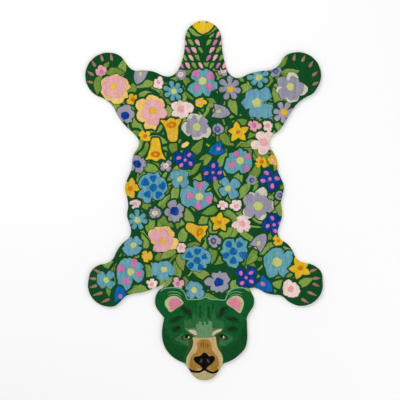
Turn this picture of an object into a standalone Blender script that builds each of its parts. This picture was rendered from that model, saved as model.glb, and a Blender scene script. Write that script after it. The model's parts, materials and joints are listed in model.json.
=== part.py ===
"""A kids' rug in the shape of a bear skin, hand tufted in wool as one flat piece, lying on its back.

Seen from above, +X is to the right, +Y runs from the head to the tail and +Z is up, in metres.
The origin is the middle of the rug's box, on the floor. The head, ears, paws and tail are all
one tufted cloth: only the outline tells them apart.
"""

import math
from collections import namedtuple

import bmesh
import bpy

# Driving dimensions, in metres.
PILE_HEIGHT = 0.012
BACKING_THICKNESS = 0.003
THICKNESS = PILE_HEIGHT + BACKING_THICKNESS
RIM_RADIUS = 0.006

# How finely round stretches are made.
ARC_STEP_DEG = 28
CURVE_STEPS = 4
RIM_SEGMENTS = 3
MERGE_DISTANCE = 0.0001

# Colour of the ground yarn, as linear RGB with alpha, and the dull surface of cut wool.
GROUND_GREEN = (0.008, 0.092, 0.024, 1.0)
WOOL_ROUGHNESS = 0.95

# The outline is a chain of stretches, in millimetres and degrees. An arc follows a circle, a
# smooth stretch runs through its guide points, and a corner is where the edge turns sharply.
MM = 0.001
Arc = namedtuple("Arc", "x y radius start end")
Smooth = namedtuple("Smooth", "points")
Corner = namedtuple("Corner", "x y")

# Anticlockwise from the right side of the tail, round by the bear's left (-X) to the head.
TAIL = [
    Arc(x=-4, y=674, radius=76, start=0, end=180),
    Smooth([(-82, 630), (-91, 590), (-106, 551)]),
]
LEFT_RUMP = [
    Smooth([(-138, 520), (-168, 520), (-206, 537), (-255, 544)]),
    Smooth([(-291, 543), (-318, 561), (-336, 587)]),
]
LEFT_HIND_PAW = [Arc(x=-401, y=522, radius=96, start=60, end=235)]
LEFT_THIGH = [Smooth([(-420, 427), (-384, 398), (-359, 352), (-331, 315), (-296, 282), (-274, 254)])]
LEFT_FLANK = [
    Smooth([(-273, 230), (-292, 197), (-301, 165), (-303, 134)]),
    Smooth([(-325, 78), (-331, 50), (-322, 12), (-317, -22)]),
    Smooth([(-322, -62), (-316, -88), (-306, -120)]),
]
LEFT_SHOULDER = [Smooth([(-310, -150), (-345, -184), (-366, -214), (-382, -246), (-408, -263)])]
LEFT_FORE_PAW = [
    Smooth([(-432, -268), (-455, -279), (-474, -299)]),
    Arc(x=-395, y=-353, radius=91, start=165, end=283),
]
LEFT_FOREARM = [
    Smooth([(-350, -422), (-327, -400), (-297, -390), (-254, -383), (-208, -366), (-182, -355)]),
    Corner(-161, -335),
]
LEFT_EAR = [
    Smooth([(-165, -352), (-173, -367)]),
    Arc(x=-138, y=-421, radius=67, start=134, end=226),
    Corner(-167, -491),
]
LEFT_CHEEK = [
    Smooth([(-173, -522), (-176, -560), (-168, -604), (-147, -639), (-112, -667)]),
    Corner(-79, -682),
]
MUZZLE = [
    Smooth([(-61, -710), (-41, -736), (-18, -749), (20, -749), (43, -737), (60, -715)]),
    Corner(82, -682),
]
RIGHT_CHEEK = [
    Smooth([(115, -669), (149, -644), (171, -618), (180, -584), (180, -540)]),
    Corner(178, -491),
]
RIGHT_EAR = [
    Arc(x=143, y=-421, radius=66, start=-45, end=38),
    Corner(190, -367),
]
RIGHT_FOREARM = [Smooth([(210, -366), (232, -372), (256, -386), (290, -394), (322, -398)])]
RIGHT_FORE_PAW = [
    Arc(x=408, y=-352, radius=89, start=235, end=370),
    Smooth([(489, -298), (470, -279), (446, -267)]),
]
RIGHT_SHOULDER = [Smooth([(410, -259), (384, -240), (368, -207), (347, -181), (321, -163)])]
RIGHT_FLANK = [
    Smooth([(307, -136), (315, -104), (325, -70), (325, -38)]),
    Smooth([(321, -12), (331, 34), (333, 62), (318, 99)]),
    Smooth([(307, 128), (304, 168), (290, 198)]),
]
RIGHT_THIGH = [Smooth([(273, 232), (280, 263), (317, 296), (341, 333), (366, 374), (397, 412)])]
RIGHT_HIND_PAW = [
    Smooth([(430, 434), (455, 448)]),
    Arc(x=393, y=524, radius=96, start=-36, end=124),
]
RIGHT_RUMP = [Smooth([(311, 564), (280, 546), (230, 540), (190, 530), (156, 515), (128, 514)])]
TAIL_ROOT = [Smooth([(108, 527), (94, 549), (84, 584), (76, 622)])]

OUTLINE = (
    TAIL + LEFT_RUMP + LEFT_HIND_PAW + LEFT_THIGH + LEFT_FLANK + LEFT_SHOULDER + LEFT_FORE_PAW
    + LEFT_FOREARM + LEFT_EAR + LEFT_CHEEK + MUZZLE + RIGHT_CHEEK + RIGHT_EAR + RIGHT_FOREARM
    + RIGHT_FORE_PAW + RIGHT_SHOULDER + RIGHT_FLANK + RIGHT_THIGH + RIGHT_HIND_PAW + RIGHT_RUMP
    + TAIL_ROOT
)


def arc_points(arc):
    """Points along an arc, both ends included, at about ARC_STEP_DEG apart."""
    steps = max(1, math.ceil((arc.end - arc.start) / ARC_STEP_DEG))
    angles = [math.radians(arc.start + (arc.end - arc.start) * i / steps) for i in range(steps + 1)]
    return [(arc.x + arc.radius * math.cos(a), arc.y + arc.radius * math.sin(a)) for a in angles]


def outline_knots(outline):
    """The outline's guide points as (x, y, is_corner), in metres, centred on the origin."""
    knots = []
    for stretch in outline:
        if isinstance(stretch, Corner):
            knots.append((stretch.x, stretch.y, True))
            continue
        points = arc_points(stretch) if isinstance(stretch, Arc) else stretch.points
        knots.extend((x, y, False) for x, y in points)
    middle_x = (min(k[0] for k in knots) + max(k[0] for k in knots)) / 2
    middle_y = (min(k[1] for k in knots) + max(k[1] for k in knots)) / 2
    return [((x - middle_x) * MM, (y - middle_y) * MM, corner) for x, y, corner in knots]


def remove_scene_objects():
    for old in list(bpy.data.objects):
        bpy.data.objects.remove(old, do_unlink=True)


def wool_material():
    """Cut wool pile in the rug's ground colour."""
    material = bpy.data.materials.new("tufted_wool")
    material.use_nodes = True
    shader = material.node_tree.nodes["Principled BSDF"]
    shader.inputs["Base Color"].default_value = GROUND_GREEN
    shader.inputs["Roughness"].default_value = WOOL_ROUGHNESS
    shader.inputs["Metallic"].default_value = 0.0
    return material


def outline_object(knots, collection):
    """The rug's outline as a filled flat curve, given its thickness."""
    curve = bpy.data.curves.new("outline", "CURVE")
    curve.dimensions = "2D"
    curve.fill_mode = "BOTH"
    curve.resolution_u = CURVE_STEPS
    curve.extrude = THICKNESS / 2
    spline = curve.splines.new("BEZIER")
    spline.bezier_points.add(len(knots) - 1)
    spline.use_cyclic_u = True
    for point, (x, y, corner) in zip(spline.bezier_points, knots):
        point.co = (x, y, 0)
        handle = "VECTOR" if corner else "AUTO"
        point.handle_left_type = handle
        point.handle_right_type = handle
    outline = bpy.data.objects.new("outline", curve)
    outline.location.z = THICKNESS / 2
    collection.objects.link(outline)
    return outline


def weld_caps(mesh):
    """Weld the curve's loose caps and make each cap one face."""
    bm = bmesh.new()
    bm.from_mesh(mesh)
    bmesh.ops.remove_doubles(bm, verts=bm.verts, dist=MERGE_DISTANCE)
    inside_caps = [e for e in bm.edges if all(abs(f.normal.z) > 0.9 for f in e.link_faces)]
    bmesh.ops.dissolve_edges(bm, edges=inside_caps, use_verts=False)
    bmesh.ops.recalc_face_normals(bm, faces=bm.faces)
    bm.to_mesh(mesh)
    bm.free()


def mark_upper_rim(mesh):
    """Give the bevel its edges: those round the top of the pile."""
    weights = mesh.attributes.new("bevel_weight_edge", "FLOAT", "EDGE")
    for edge, weight in zip(mesh.edges, weights.data):
        on_top = all(mesh.vertices[i].co.z > 0 for i in edge.vertices)
        weight.value = 1.0 if on_top else 0.0


def make_rug(collection):
    """One solid: the outline's slab, with the pile's shoulder rounded all round its upper rim."""
    outline = outline_object(outline_knots(OUTLINE), collection)
    graph = bpy.context.evaluated_depsgraph_get()
    mesh = bpy.data.meshes.new_from_object(outline.evaluated_get(graph))
    weld_caps(mesh)
    mark_upper_rim(mesh)
    rug = bpy.data.objects.new("rug", mesh)
    rug.matrix_world = outline.matrix_world
    collection.objects.link(rug)
    bpy.data.objects.remove(outline, do_unlink=True)

    shoulder = rug.modifiers.new("pile_shoulder", "BEVEL")
    shoulder.limit_method = "WEIGHT"
    shoulder.width = RIM_RADIUS
    shoulder.segments = RIM_SEGMENTS
    mesh.materials.clear()
    mesh.materials.append(wool_material())
    return rug


def main():
    remove_scene_objects()
    collection = bpy.data.collections.new("bear_skin_kids_rug")
    bpy.context.scene.collection.children.link(collection)
    make_rug(collection)


main()
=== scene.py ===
"""Finish of a kids' rug in the shape of a bear skin, hand tufted in wool and carved between its colours.

The pattern is drawn as closed outlines, one for each area of yarn, painted over each other from the
ground up. Where areas meet, a carved seam parts them, and each family of yarns is built as standing
pile on the backing cloth. +X is to the right, +Y runs from the head to the tail, and +Z is up.
"""

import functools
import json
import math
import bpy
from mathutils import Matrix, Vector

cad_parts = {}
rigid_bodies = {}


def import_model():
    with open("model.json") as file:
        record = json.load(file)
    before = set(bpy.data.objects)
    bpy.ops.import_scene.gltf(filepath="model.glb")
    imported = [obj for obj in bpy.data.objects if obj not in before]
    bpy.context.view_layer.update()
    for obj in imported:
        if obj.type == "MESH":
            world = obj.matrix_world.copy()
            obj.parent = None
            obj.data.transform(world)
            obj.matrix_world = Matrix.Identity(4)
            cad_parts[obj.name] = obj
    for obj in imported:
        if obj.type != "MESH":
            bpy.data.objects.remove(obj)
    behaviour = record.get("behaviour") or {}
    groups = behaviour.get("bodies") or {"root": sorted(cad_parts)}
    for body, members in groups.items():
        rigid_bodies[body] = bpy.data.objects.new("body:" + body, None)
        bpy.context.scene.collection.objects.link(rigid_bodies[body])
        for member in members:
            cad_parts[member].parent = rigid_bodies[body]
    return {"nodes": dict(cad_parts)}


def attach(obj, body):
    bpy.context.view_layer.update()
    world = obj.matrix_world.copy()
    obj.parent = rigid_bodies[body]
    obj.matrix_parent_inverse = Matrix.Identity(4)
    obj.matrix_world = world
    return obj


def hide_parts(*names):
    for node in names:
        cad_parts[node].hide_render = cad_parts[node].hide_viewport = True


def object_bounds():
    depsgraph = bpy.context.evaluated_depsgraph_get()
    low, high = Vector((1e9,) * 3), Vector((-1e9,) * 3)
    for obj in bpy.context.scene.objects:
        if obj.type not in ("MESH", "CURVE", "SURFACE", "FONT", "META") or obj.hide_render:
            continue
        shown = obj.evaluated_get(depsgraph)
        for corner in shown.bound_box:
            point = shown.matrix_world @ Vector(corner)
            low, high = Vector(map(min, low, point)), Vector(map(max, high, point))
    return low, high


bl_info = {
    "name": "Bear Shaped Tufted Rug",
    "version": (1, 0, 0),
    "blender": (4, 5, 0),
    "location": "View3D > Sidebar > Tufted Rug",
    "description": "Builds the carved wool pile, the backing cloth and the studio of a bear shaped kids' rug",
    "category": "Object",
}

from collections import defaultdict, namedtuple

import bmesh
import bpy
import numpy as np
from bpy.props import FloatProperty, FloatVectorProperty, IntProperty, PointerProperty
from bpy.types import Operator, Panel, PropertyGroup
from mathutils import Color, Vector
from mathutils.geometry import delaunay_2d_cdt
from mathutils.kdtree import KDTree

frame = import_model()
CAD_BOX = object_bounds()
TOP = CAD_BOX[1][2]

MM = 0.001
NODE = "rug"
BODY = "root"
OUTSIDE = -1
GROUND = 0
NEARLY_NOTHING = 1e-9


# ---------------------------------------------------------------- what a user can change

# How many pixels wide the photo is, and how many millimetres of the rug one of them spans.
PHOTO_WIDTH = 400
PIXEL_SPAN = 4.178


def yarn_colour(name, description, red, green, blue):
    """A yarn's colour as a setting, given as it looks on a screen, from 0 to 255."""
    return FloatVectorProperty(
        name=name,
        description=description,
        subtype="COLOR_GAMMA",
        size=3,
        min=0.0,
        max=1.0,
        default=(red / 255, green / 255, blue / 255),
    )


def millimetres(name, description, size, low, high):
    """A length as a setting, given in millimetres."""
    return FloatProperty(
        name=name, description=description, default=size * MM, min=low * MM, max=high * MM, unit="LENGTH"
    )


class RugYarns(PropertyGroup):
    """The dyed yarns, one setting for each."""

    ground_green: yarn_colour("Ground green", "Deep green between the flowers", 13, 74, 32)
    leaf_green: yarn_colour("Leaf green", "Broad leaves", 130, 160, 76)
    moss_green: yarn_colour("Moss green", "Darker leaves", 112, 144, 60)
    stem_green: yarn_colour("Stem green", "Light green of the thin stems", 142, 170, 74)
    sky_blue: yarn_colour("Sky blue", "Large blooms", 104, 162, 177)
    mid_blue: yarn_colour("Mid blue", "Inlays and rings in the blue blooms", 12, 102, 168)
    royal_blue: yarn_colour("Royal blue", "Dark blue blooms", 8, 62, 142)
    lilac: yarn_colour("Lilac", "Greyish lilac blooms", 157, 153, 168)
    mauve_pink: yarn_colour("Mauve pink", "Inlays and hearts of blooms", 204, 122, 170)
    sun_yellow: yarn_colour("Sun yellow", "Yellow blooms and buds", 228, 186, 50)
    peach: yarn_colour("Peach", "Outer petals of the roses and some buds", 242, 204, 118)
    orange: yarn_colour("Orange", "Hearts of the yellow blooms", 212, 118, 14)
    rose_pink: yarn_colour("Rose pink", "Roses", 230, 170, 174)
    blush: yarn_colour("Blush", "Pale pink blossoms", 242, 214, 206)
    lime: yarn_colour("Lime", "Hearts of the blue blooms", 200, 206, 128)
    bone: yarn_colour("Bone", "Pale edging round lilac blooms", 206, 204, 184)
    bear_green: yarn_colour("Bear green", "Fur of the head", 18, 92, 43)
    bear_dark: yarn_colour("Dark fur", "Darker fur on the cheeks", 14, 76, 34)
    bear_light: yarn_colour("Light fur", "Lighter fur at the brow and nape", 32, 106, 54)
    fur_mint: yarn_colour("Mint", "Pale line round the ears and the head", 124, 176, 128)
    fur_sage: yarn_colour("Sage", "Patch over the brow", 50, 108, 62)
    fur_pale: yarn_colour("Pale sage", "Blaze between the eyes", 104, 150, 104)
    socket_green: yarn_colour("Socket green", "Fur round the eyes", 60, 112, 72)
    dash_brown: yarn_colour("Dash brown", "Short dark strokes on the fur", 24, 48, 24)
    ear_cream: yarn_colour("Ear cream", "Rim of the inner ear", 188, 197, 143)
    ear_pink: yarn_colour("Ear pink", "Inner ear", 222, 136, 156)
    brow_cream: yarn_colour("Brow cream", "Brows", 222, 200, 168)
    muzzle_cream: yarn_colour("Muzzle cream", "Rim of the muzzle", 196, 188, 138)
    muzzle_tan: yarn_colour("Muzzle tan", "Outer muzzle", 206, 172, 120)
    muzzle_gold: yarn_colour("Muzzle gold", "Inner muzzle", 160, 124, 54)
    bridge_brown: yarn_colour("Bridge brown", "Bridge of the nose", 172, 126, 54)
    chin_sand: yarn_colour("Chin sand", "Chin", 190, 175, 128)
    nose_black: yarn_colour("Nose black", "Nose, mouth and pupils", 7, 4, 4)
    nostril_grey: yarn_colour("Nostril grey", "Light on the nostrils", 66, 64, 64)
    eye_dark: yarn_colour("Eye dark", "Rim of the eye", 38, 66, 32)
    bridge_umber: yarn_colour("Bridge umber", "Thin strands on the bridge of the nose", 112, 80, 34)
    brow_sage: yarn_colour("Brow sage", "Fur round the brows", 92, 136, 86)
    olive_shadow: yarn_colour("Olive shadow", "Fur in the shade of the muzzle and the brow", 58, 82, 32)
    eye_olive: yarn_colour("Eye olive", "Iris", 84, 108, 56)
    eye_light: yarn_colour("Eye light", "Glint in the eye", 222, 238, 200)
    claw_rose: yarn_colour("Claw rose", "Claw strokes on the paws", 160, 124, 102)
    canvas: yarn_colour("Canvas", "Cotton cloth of the backing", 206, 196, 174)


class RugPile(PropertyGroup):
    """How the pile stands and how it is carved."""

    backing: millimetres("Backing", "Thickness of the backing cloth and its latex", 3, 1, 5)
    shoulder: millimetres("Edge shoulder", "Radius of the sheared pile along the rug's edge", 6, 1, 10)
    carve_depth: millimetres("Carving depth", "Depth of the seam carved between two colours", 1.5, 0, 6)
    carve_width: millimetres("Carving width", "How far from a seam the pile starts to fall", 2.6, 1, 10)
    inner_carving: FloatProperty(
        name="Inner carving",
        description="How much of the carving's width is left out at a seam that has no ground beside it",
        default=0.3,
        min=0.0,
        max=1.0,
        subtype="FACTOR",
    )
    row_pitch: millimetres("Row pitch", "Distance between two rows of tufts", 4.4, 2.5, 12)
    tuft_pitch: millimetres("Tuft pitch", "Distance between two tufts in a row", 3.2, 2, 12)


class RugField(PropertyGroup):
    """The flowered field on the bear's back."""

    large: millimetres("Large blooms", "Radius of the largest blooms", 67, 30, 90)
    medium: millimetres("Medium blooms", "Radius of the medium blooms", 47, 20, 60)
    small: millimetres("Small blooms", "Radius of the small blossoms", 26, 12, 40)
    leaf: millimetres("Longest leaf", "Length of the longest leaves past their bloom", 78, 30, 120)
    stem: millimetres("Stem width", "Width of the stems", 7.5, 4, 15)
    seed: IntProperty(
        name="Layout seed", description="Number that the scatter of the flowers starts from", default=7, min=1
    )


class RugStudio(PropertyGroup):
    """Floor, lights and camera."""

    floor_colour: FloatVectorProperty(
        name="Floor",
        description="Colour of the plain floor",
        subtype="COLOR",
        size=3,
        min=0.0,
        max=1.0,
        default=(0.95, 0.95, 0.95),
    )
    camera_height: millimetres("Camera height", "Height of the camera over the rug", 6000, 2000, 20000)
    view_width: millimetres(
        "View width", "Width of floor that the picture shows", PHOTO_WIDTH * PIXEL_SPAN, 1000, 4000
    )


# ---------------------------------------------------------------- drawing with outlines

# How many points are held against an outline at a time, which keeps memory low.
AT_ONCE = 4000


def polar(x, y, angle, reach):
    """The point that lies at a distance in a direction."""
    return x + reach * math.cos(angle), y + reach * math.sin(angle)


def turned(points, angle):
    """Points turned about the origin, anticlockwise."""
    c, s = math.cos(angle), math.sin(angle)
    return np.asarray(points, float) @ np.array([[c, s], [-s, c]])


def unit(vectors):
    """The same directions at length 1."""
    return vectors / np.maximum(np.hypot(*vectors.T), NEARLY_NOTHING)[:, None]


def distances(points, others):
    """How far every point lies from each of the others."""
    return np.hypot(*(points[:, None] - others).transpose(2, 0, 1))


def resample(points, step, closed):
    """The same line with its points about one step apart."""
    path = np.vstack([points, points[:1]]) if closed else np.asarray(points, float)
    along = np.concatenate([[0.0], np.cumsum(np.hypot(*np.diff(path, axis=0).T))])
    count = max(3 if closed else 1, round(along[-1] / step))
    wanted = np.linspace(0.0, along[-1], count + 1)[: count if closed else None]
    return np.column_stack([np.interp(wanted, along, path[:, i]) for i in (0, 1)])


def through(points, step=3 * MM, closed=True):
    """A smooth line through guide points, which are in millimetres."""
    guide = np.asarray(points, float) * MM
    if closed:
        guide = np.vstack([guide[-1:], guide, guide[:2]])
    else:
        guide = np.vstack([2 * guide[0] - guide[1], guide, 2 * guide[-1] - guide[-2]])
    t = np.linspace(0.0, 1.0, 9)[:-1, None]
    runs = []
    for p0, p1, p2, p3 in zip(guide, guide[1:], guide[2:], guide[3:]):
        bend = 2 * p0 - 5 * p1 + 4 * p2 - p3
        runs.append(0.5 * (2 * p1 + (p2 - p0) * t + bend * t**2 + (3 * p1 - p0 - 3 * p2 + p3) * t**3))
    line = np.vstack(runs if closed else runs + [guide[-2:-1]])
    return resample(line, step, closed)


def band(line, width, taper=0.0):
    """The outline of a stroke along an open line; taper is how much of each end narrows."""
    along = unit(np.gradient(line, axis=0))
    side = np.column_stack([-along[:, 1], along[:, 0]])
    t = np.linspace(0.0, 1.0, len(line))
    ends = np.minimum(t, 1 - t) / max(taper, 1e-6)
    half = 0.5 * width * np.clip(0.25 + ends, 0.0, 1.0)[:, None]
    return np.vstack([line - side * half, (line + side * half)[::-1]])


def ellipse(x, y, long, wide, angle=0.0, step=3 * MM):
    """An oval with its half length and half width."""
    count = max(8, round(math.tau * math.sqrt(long * wide) / step))
    t = np.arange(count) * math.tau / count
    return turned(np.column_stack([long * np.cos(t), wide * np.sin(t)]), angle) + (x, y)


def petal(x, y, angle, length, width, full=0.62, step=3.4 * MM):
    """A round tipped petal from its root outwards, widest where `full` says along its length."""
    count = max(10, round(2.6 * length / step))
    t = np.arange(count) * math.tau / count
    along = (0.5 - 0.5 * np.cos(t)) ** (math.log(full) / math.log(0.5))
    return turned(np.column_stack([length * along, 0.5 * width * np.sin(t)]), angle) + (x, y)


def broad_petal(x, y, angle, length, width, rng):
    """A wide petal with square shoulders and an uneven tip, no two of them alike."""
    half = [(0.0, 0.1), (0.36, 0.36), (0.72, 0.5), (0.96, 0.32), (rng.choice([0.86, 0.98, 1.06]), 0.0)]
    shape = np.array(half + [(along, -across) for along, across in half[-2::-1]])
    shape[1:-1] += rng.uniform(-0.07, 0.07, (len(shape) - 2, 2))
    return turned(shape * (length, width), angle) + (x, y)


def leaf(x, y, angle, length, width, bend=0.0, half=0, step=10 * MM):
    """A leaf pointed at both ends; half gives only the side right (-1) or left (+1) of its midrib."""
    t = np.linspace(0.0, 1.0, max(5, round(length / step)) + 1)
    midrib = np.column_stack([length * t, 4 * bend * length * t * (1 - t)])
    reach = np.column_stack([0 * t, 0.5 * width * np.sin(math.pi * t**0.86)])
    lower = midrib if half > 0 else midrib - reach
    upper = midrib if half < 0 else midrib + reach
    return turned(np.vstack([lower, upper[-2:0:-1]]), angle) + (x, y)


def hand_cut(outline, rng, wobble=1.7 * MM):
    """The same outline in short, slightly uneven strokes, as a hand-held tufting gun follows it."""
    around = np.hypot(*(np.roll(outline, -1, axis=0) - outline).T).sum()
    strokes = resample(outline, np.clip(around / 13, 5 * MM, 12 * MM), closed=True)
    return strokes + rng.uniform(-wobble, wobble, strokes.shape)


def widened(outline, by):
    """An outline moved outwards all round."""
    run = unit(np.roll(outline, -1, axis=0) - np.roll(outline, 1, axis=0))
    x, y = outline.T
    turns_left = np.sum(x * np.roll(y, -1) - y * np.roll(x, -1)) > 0
    return outline + np.column_stack([run[:, 1], -run[:, 0]]) * (by if turns_left else -by)


def inside(points, outline):
    """Which points lie inside a closed outline."""
    if len(points) > AT_ONCE:
        parts = np.array_split(points, len(points) // AT_ONCE + 1)
        return np.concatenate([inside(part, outline) for part in parts])
    x, y = points[:, 0, None], points[:, 1, None]
    x0, y0 = outline.T
    x1, y1 = np.roll(outline, -1, axis=0).T
    with np.errstate(divide="ignore", invalid="ignore"):
        crosses = ((y0 > y) != (y1 > y)) & (x < (x1 - x0) * (y - y0) / (y1 - y0) + x0)
    return crosses.sum(axis=1) % 2 == 1


class Drawing:
    """Areas of yarn painted over each other. Outlines that share an area number are one area."""

    def __init__(self):
        self.outlines = []
        self.areas = []
        self.yarn_of = ["ground_green"]

    def new_area(self, yarn):
        self.yarn_of.append(yarn)
        return len(self.yarn_of) - 1

    def paint(self, outline, area):
        self.outlines.append(np.asarray(outline, float))
        self.areas.append(area)

    def add(self, outline, yarn):
        """Paint one outline as an area of its own."""
        self.paint(outline, self.new_area(yarn))

    def set_apart(self, outlines, yarn, gap=6.5 * MM):
        """Paint outlines as one area, with a line of ground round it if there is a gap."""
        area = self.new_area(yarn)
        for outline in outlines if gap else ():
            self.paint(widened(outline, gap), GROUND)
        for outline in outlines:
            self.paint(outline, area)

    def area_at(self, points):
        """The area that shows at each point."""
        order = np.argsort(points[:, 1], kind="stable")
        rows = points[order]
        found = np.zeros(len(points), np.int32)
        for outline, area in zip(self.outlines, self.areas):
            (x0, y0), (x1, y1) = outline.min(0), outline.max(0)
            first, last = np.searchsorted(rows[:, 1], (y0, y1))
            near = first + np.flatnonzero((rows[first:last, 0] >= x0) & (rows[first:last, 0] <= x1))
            if len(near):
                found[near[inside(rows[near], outline)]] = area
        result = np.empty_like(found)
        result[order] = found
        return result


# ---------------------------------------------------------------- the rug's edge, from the frame

FACES_DOWN = -0.9


@functools.lru_cache(maxsize=1)
def rug_edge():
    """The loop round the underside of the solid, anticlockwise."""
    bm = bmesh.new()
    bm.from_mesh(frame["nodes"][NODE].data)
    bmesh.ops.remove_doubles(bm, verts=bm.verts, dist=0.01 * MM)
    onward = {}
    for face in bm.faces:
        for loop in face.loops if face.normal.z <= FACES_DOWN else ():
            if any(other.normal.z > FACES_DOWN for other in loop.edge.link_faces):
                onward[loop.vert] = loop.link_loop_next.vert
    start = here = next(iter(onward))
    loop = []
    while not loop or here != start:
        loop.append(here.co.xy[:])
        here = onward[here]
    bm.free()
    # The underside's faces run clockwise seen from above.
    return np.array(loop[::-1])


def edge_distance(points, outline):
    """Distance of a few points from a closed outline, positive inside, and the nearest points on it."""
    run = np.roll(outline, -1, axis=0) - outline
    t = ((points[:, None] - outline) * run).sum(2) / np.maximum((run**2).sum(1), 1e-12)
    nearest = outline + np.clip(t, 0.0, 1.0)[:, :, None] * run
    gap = np.hypot(*(points[:, None] - nearest).transpose(2, 0, 1))
    rows, best = np.arange(len(points)), gap.argmin(1)
    return np.where(inside(points, outline), 1, -1) * gap[rows, best], nearest[rows, best]


# ---------------------------------------------------------------- blooms, leaves and buds

CLASP_GAP = 3 * MM
EDGING_WIDTH = 6 * MM
Place = namedtuple("Place", "x y radius turn")


def from_middle(place, angle, share):
    """The point at a share of a bloom's radius from its middle."""
    return polar(place.x, place.y, angle, share * place.radius)


def directions(turn, count, stray, rng):
    """The petals' directions round a bloom, each drawn a little astray."""
    for i in range(count):
        yield turn + math.tau * (i + rng.uniform(-stray, stray)) / count


def round_petals(drawing, rng, place, yarn, count, plump=1.0, gap=None):
    """A ring of broad petals as one area; gives back their directions."""
    x, y, radius, turn = place
    gap = max(0.0, rng.uniform(-3, 10)) * MM if gap is None else gap
    angles = list(directions(turn, count, 0.13, rng))
    width = plump * 1.42 * radius * math.sin(math.pi / count)
    shapes = [ellipse(x, y, 0.4 * radius, 0.4 * radius)]
    for angle in angles:
        reach, across = radius * rng.uniform(0.78, 1.14), width * rng.uniform(0.84, 1.24)
        shapes.append(broad_petal(x, y, angle, reach, across, rng))
    drawing.set_apart(shapes, yarn, gap)
    return angles


def heart(drawing, rng, place, yarn, share):
    """A bloom's middle: a few straight cuts round it, and not quite in the middle."""
    size, corners = share * place.radius, rng.integers(5, 8)
    start = rng.uniform(0, math.tau)
    turns = start + (np.arange(corners) + rng.uniform(-0.2, 0.2, corners)) * math.tau / corners
    reach = size * rng.uniform(0.92, 1.18, corners)
    shape = np.column_stack([reach * np.cos(turns), reach * np.sin(turns)])
    drawing.add(shape + rng.uniform(-0.2, 0.2, 2) * size + place[:2], yarn)


def blossom(drawing, rng, place, petals, middle, count=5, middle_share=0.3):
    """A simple blossom: round petals and a heart."""
    round_petals(drawing, rng, place, petals, count)
    heart(drawing, rng, place, middle, middle_share)


def inlaid_bloom(drawing, rng, place, petals, inlay, middle, count=5):
    """A large bloom with a patch of a second colour laid into each petal."""
    for angle in round_petals(drawing, rng, place, petals, count, plump=1.1):
        root = from_middle(place, angle, 0.32)
        reach, across = place.radius * rng.uniform(0.42, 0.58), place.radius * rng.uniform(0.42, 0.56)
        drawing.add(broad_petal(*root, angle + rng.uniform(-0.2, 0.2), reach, across, rng), inlay)
    heart(drawing, rng, place, middle, 0.26)


def daisy(drawing, rng, place, petals, middle, count=7):
    """Narrow petals that stand apart round a broad heart."""
    x, y, radius, turn = place
    shapes = [ellipse(x, y, 0.42 * radius, 0.42 * radius)]
    for angle in directions(turn, count, 0.08, rng):
        shapes.append(petal(x, y, angle, radius * rng.uniform(0.86, 1.08), 0.5 * radius, full=0.76))
    drawing.set_apart(shapes, petals)
    heart(drawing, rng, place, middle, 0.3)


def star_bloom(drawing, rng, place, petals, middle, count=5):
    """Pointed petals round a small heart."""
    x, y, radius, turn = place
    shapes = [ellipse(x, y, 0.38 * radius, 0.38 * radius)]
    for angle in directions(turn, count, 0.1, rng):
        reach = 1.1 * radius * rng.uniform(0.88, 1.08)
        shapes.append(leaf(x, y, angle, reach, 0.66 * radius, rng.uniform(-0.06, 0.06)))
    drawing.set_apart(shapes, petals)
    heart(drawing, rng, place, middle, 0.22)


def layered_rose(drawing, rng, place, outer, inner, middle):
    """A rose of two scalloped layers, the inner one set off the middle."""
    round_petals(drawing, rng, place, outer, 6, plump=1.2)
    x, y = from_middle(place, place.turn, 0.14)
    layer = Place(x, y, 0.8 * place.radius, place.turn + 0.5)
    round_petals(drawing, rng, layer, inner, 5, plump=1.15, gap=0.0)
    heart(drawing, rng, place._replace(x=x, y=y), middle, 0.22)


def ringed_bloom(drawing, rng, place, petals, ring, middle, count=5):
    """A blossom with a broad ring round its heart."""
    round_petals(drawing, rng, place, petals, count, plump=1.1)
    heart(drawing, rng, place, ring, 0.5)
    heart(drawing, rng, place, middle, 0.24)


def edged_bloom(drawing, rng, place, edging, petals, middle, count=5):
    """A bloom with a pale line round its petals."""
    state = rng.bit_generator.state
    round_petals(drawing, rng, place, edging, count, plump=1.12)
    rng.bit_generator.state = state
    round_petals(drawing, rng, place._replace(radius=place.radius - EDGING_WIDTH), petals, count, gap=0.0)
    heart(drawing, rng, place, middle, 0.3)


def tulip(drawing, rng, place, petals, inner, throat):
    """A tulip seen from the side: two outer petals clasp an inner one."""
    x, y, radius, turn = place
    root = from_middle(place, turn, -0.75)
    drawing.set_apart([hand_cut(petal(*root, turn, 1.55 * radius, 1.0 * radius, full=0.6), rng)], inner)
    outer = [leaf(*root, turn + side * 0.36, 1.66 * radius, 0.9 * radius, -side * 0.13) for side in (-1, 1)]
    drawing.set_apart(outer, petals, CLASP_GAP)
    drawing.add(hand_cut(petal(x, y, turn, 0.5 * radius, 0.34 * radius, full=0.55), rng, 0.8 * MM), throat)


def bell(drawing, rng, place, petals, mouth, throat):
    """A bellflower with a flared, three pointed mouth."""
    x, y, radius, turn = place
    flare = [(-1.0, -0.24), (-0.7, -0.42), (-0.1, -0.5), (0.45, -0.66), (0.95, -0.95), (0.82, -0.4)]
    flare += [(1.08, 0.0)] + [(px, -py) for px, py in flare[::-1]]
    body = through(turned(np.array(flare) * radius / MM, turn)) + (x, y)
    drawing.set_apart([hand_cut(body, rng)], petals)
    opening = from_middle(place, turn, 0.42)
    drawing.add(ellipse(*opening, 0.26 * radius, 0.42 * radius, turn), mouth)
    drawing.add(ellipse(*opening, 0.1 * radius, 0.18 * radius, turn), throat)


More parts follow.
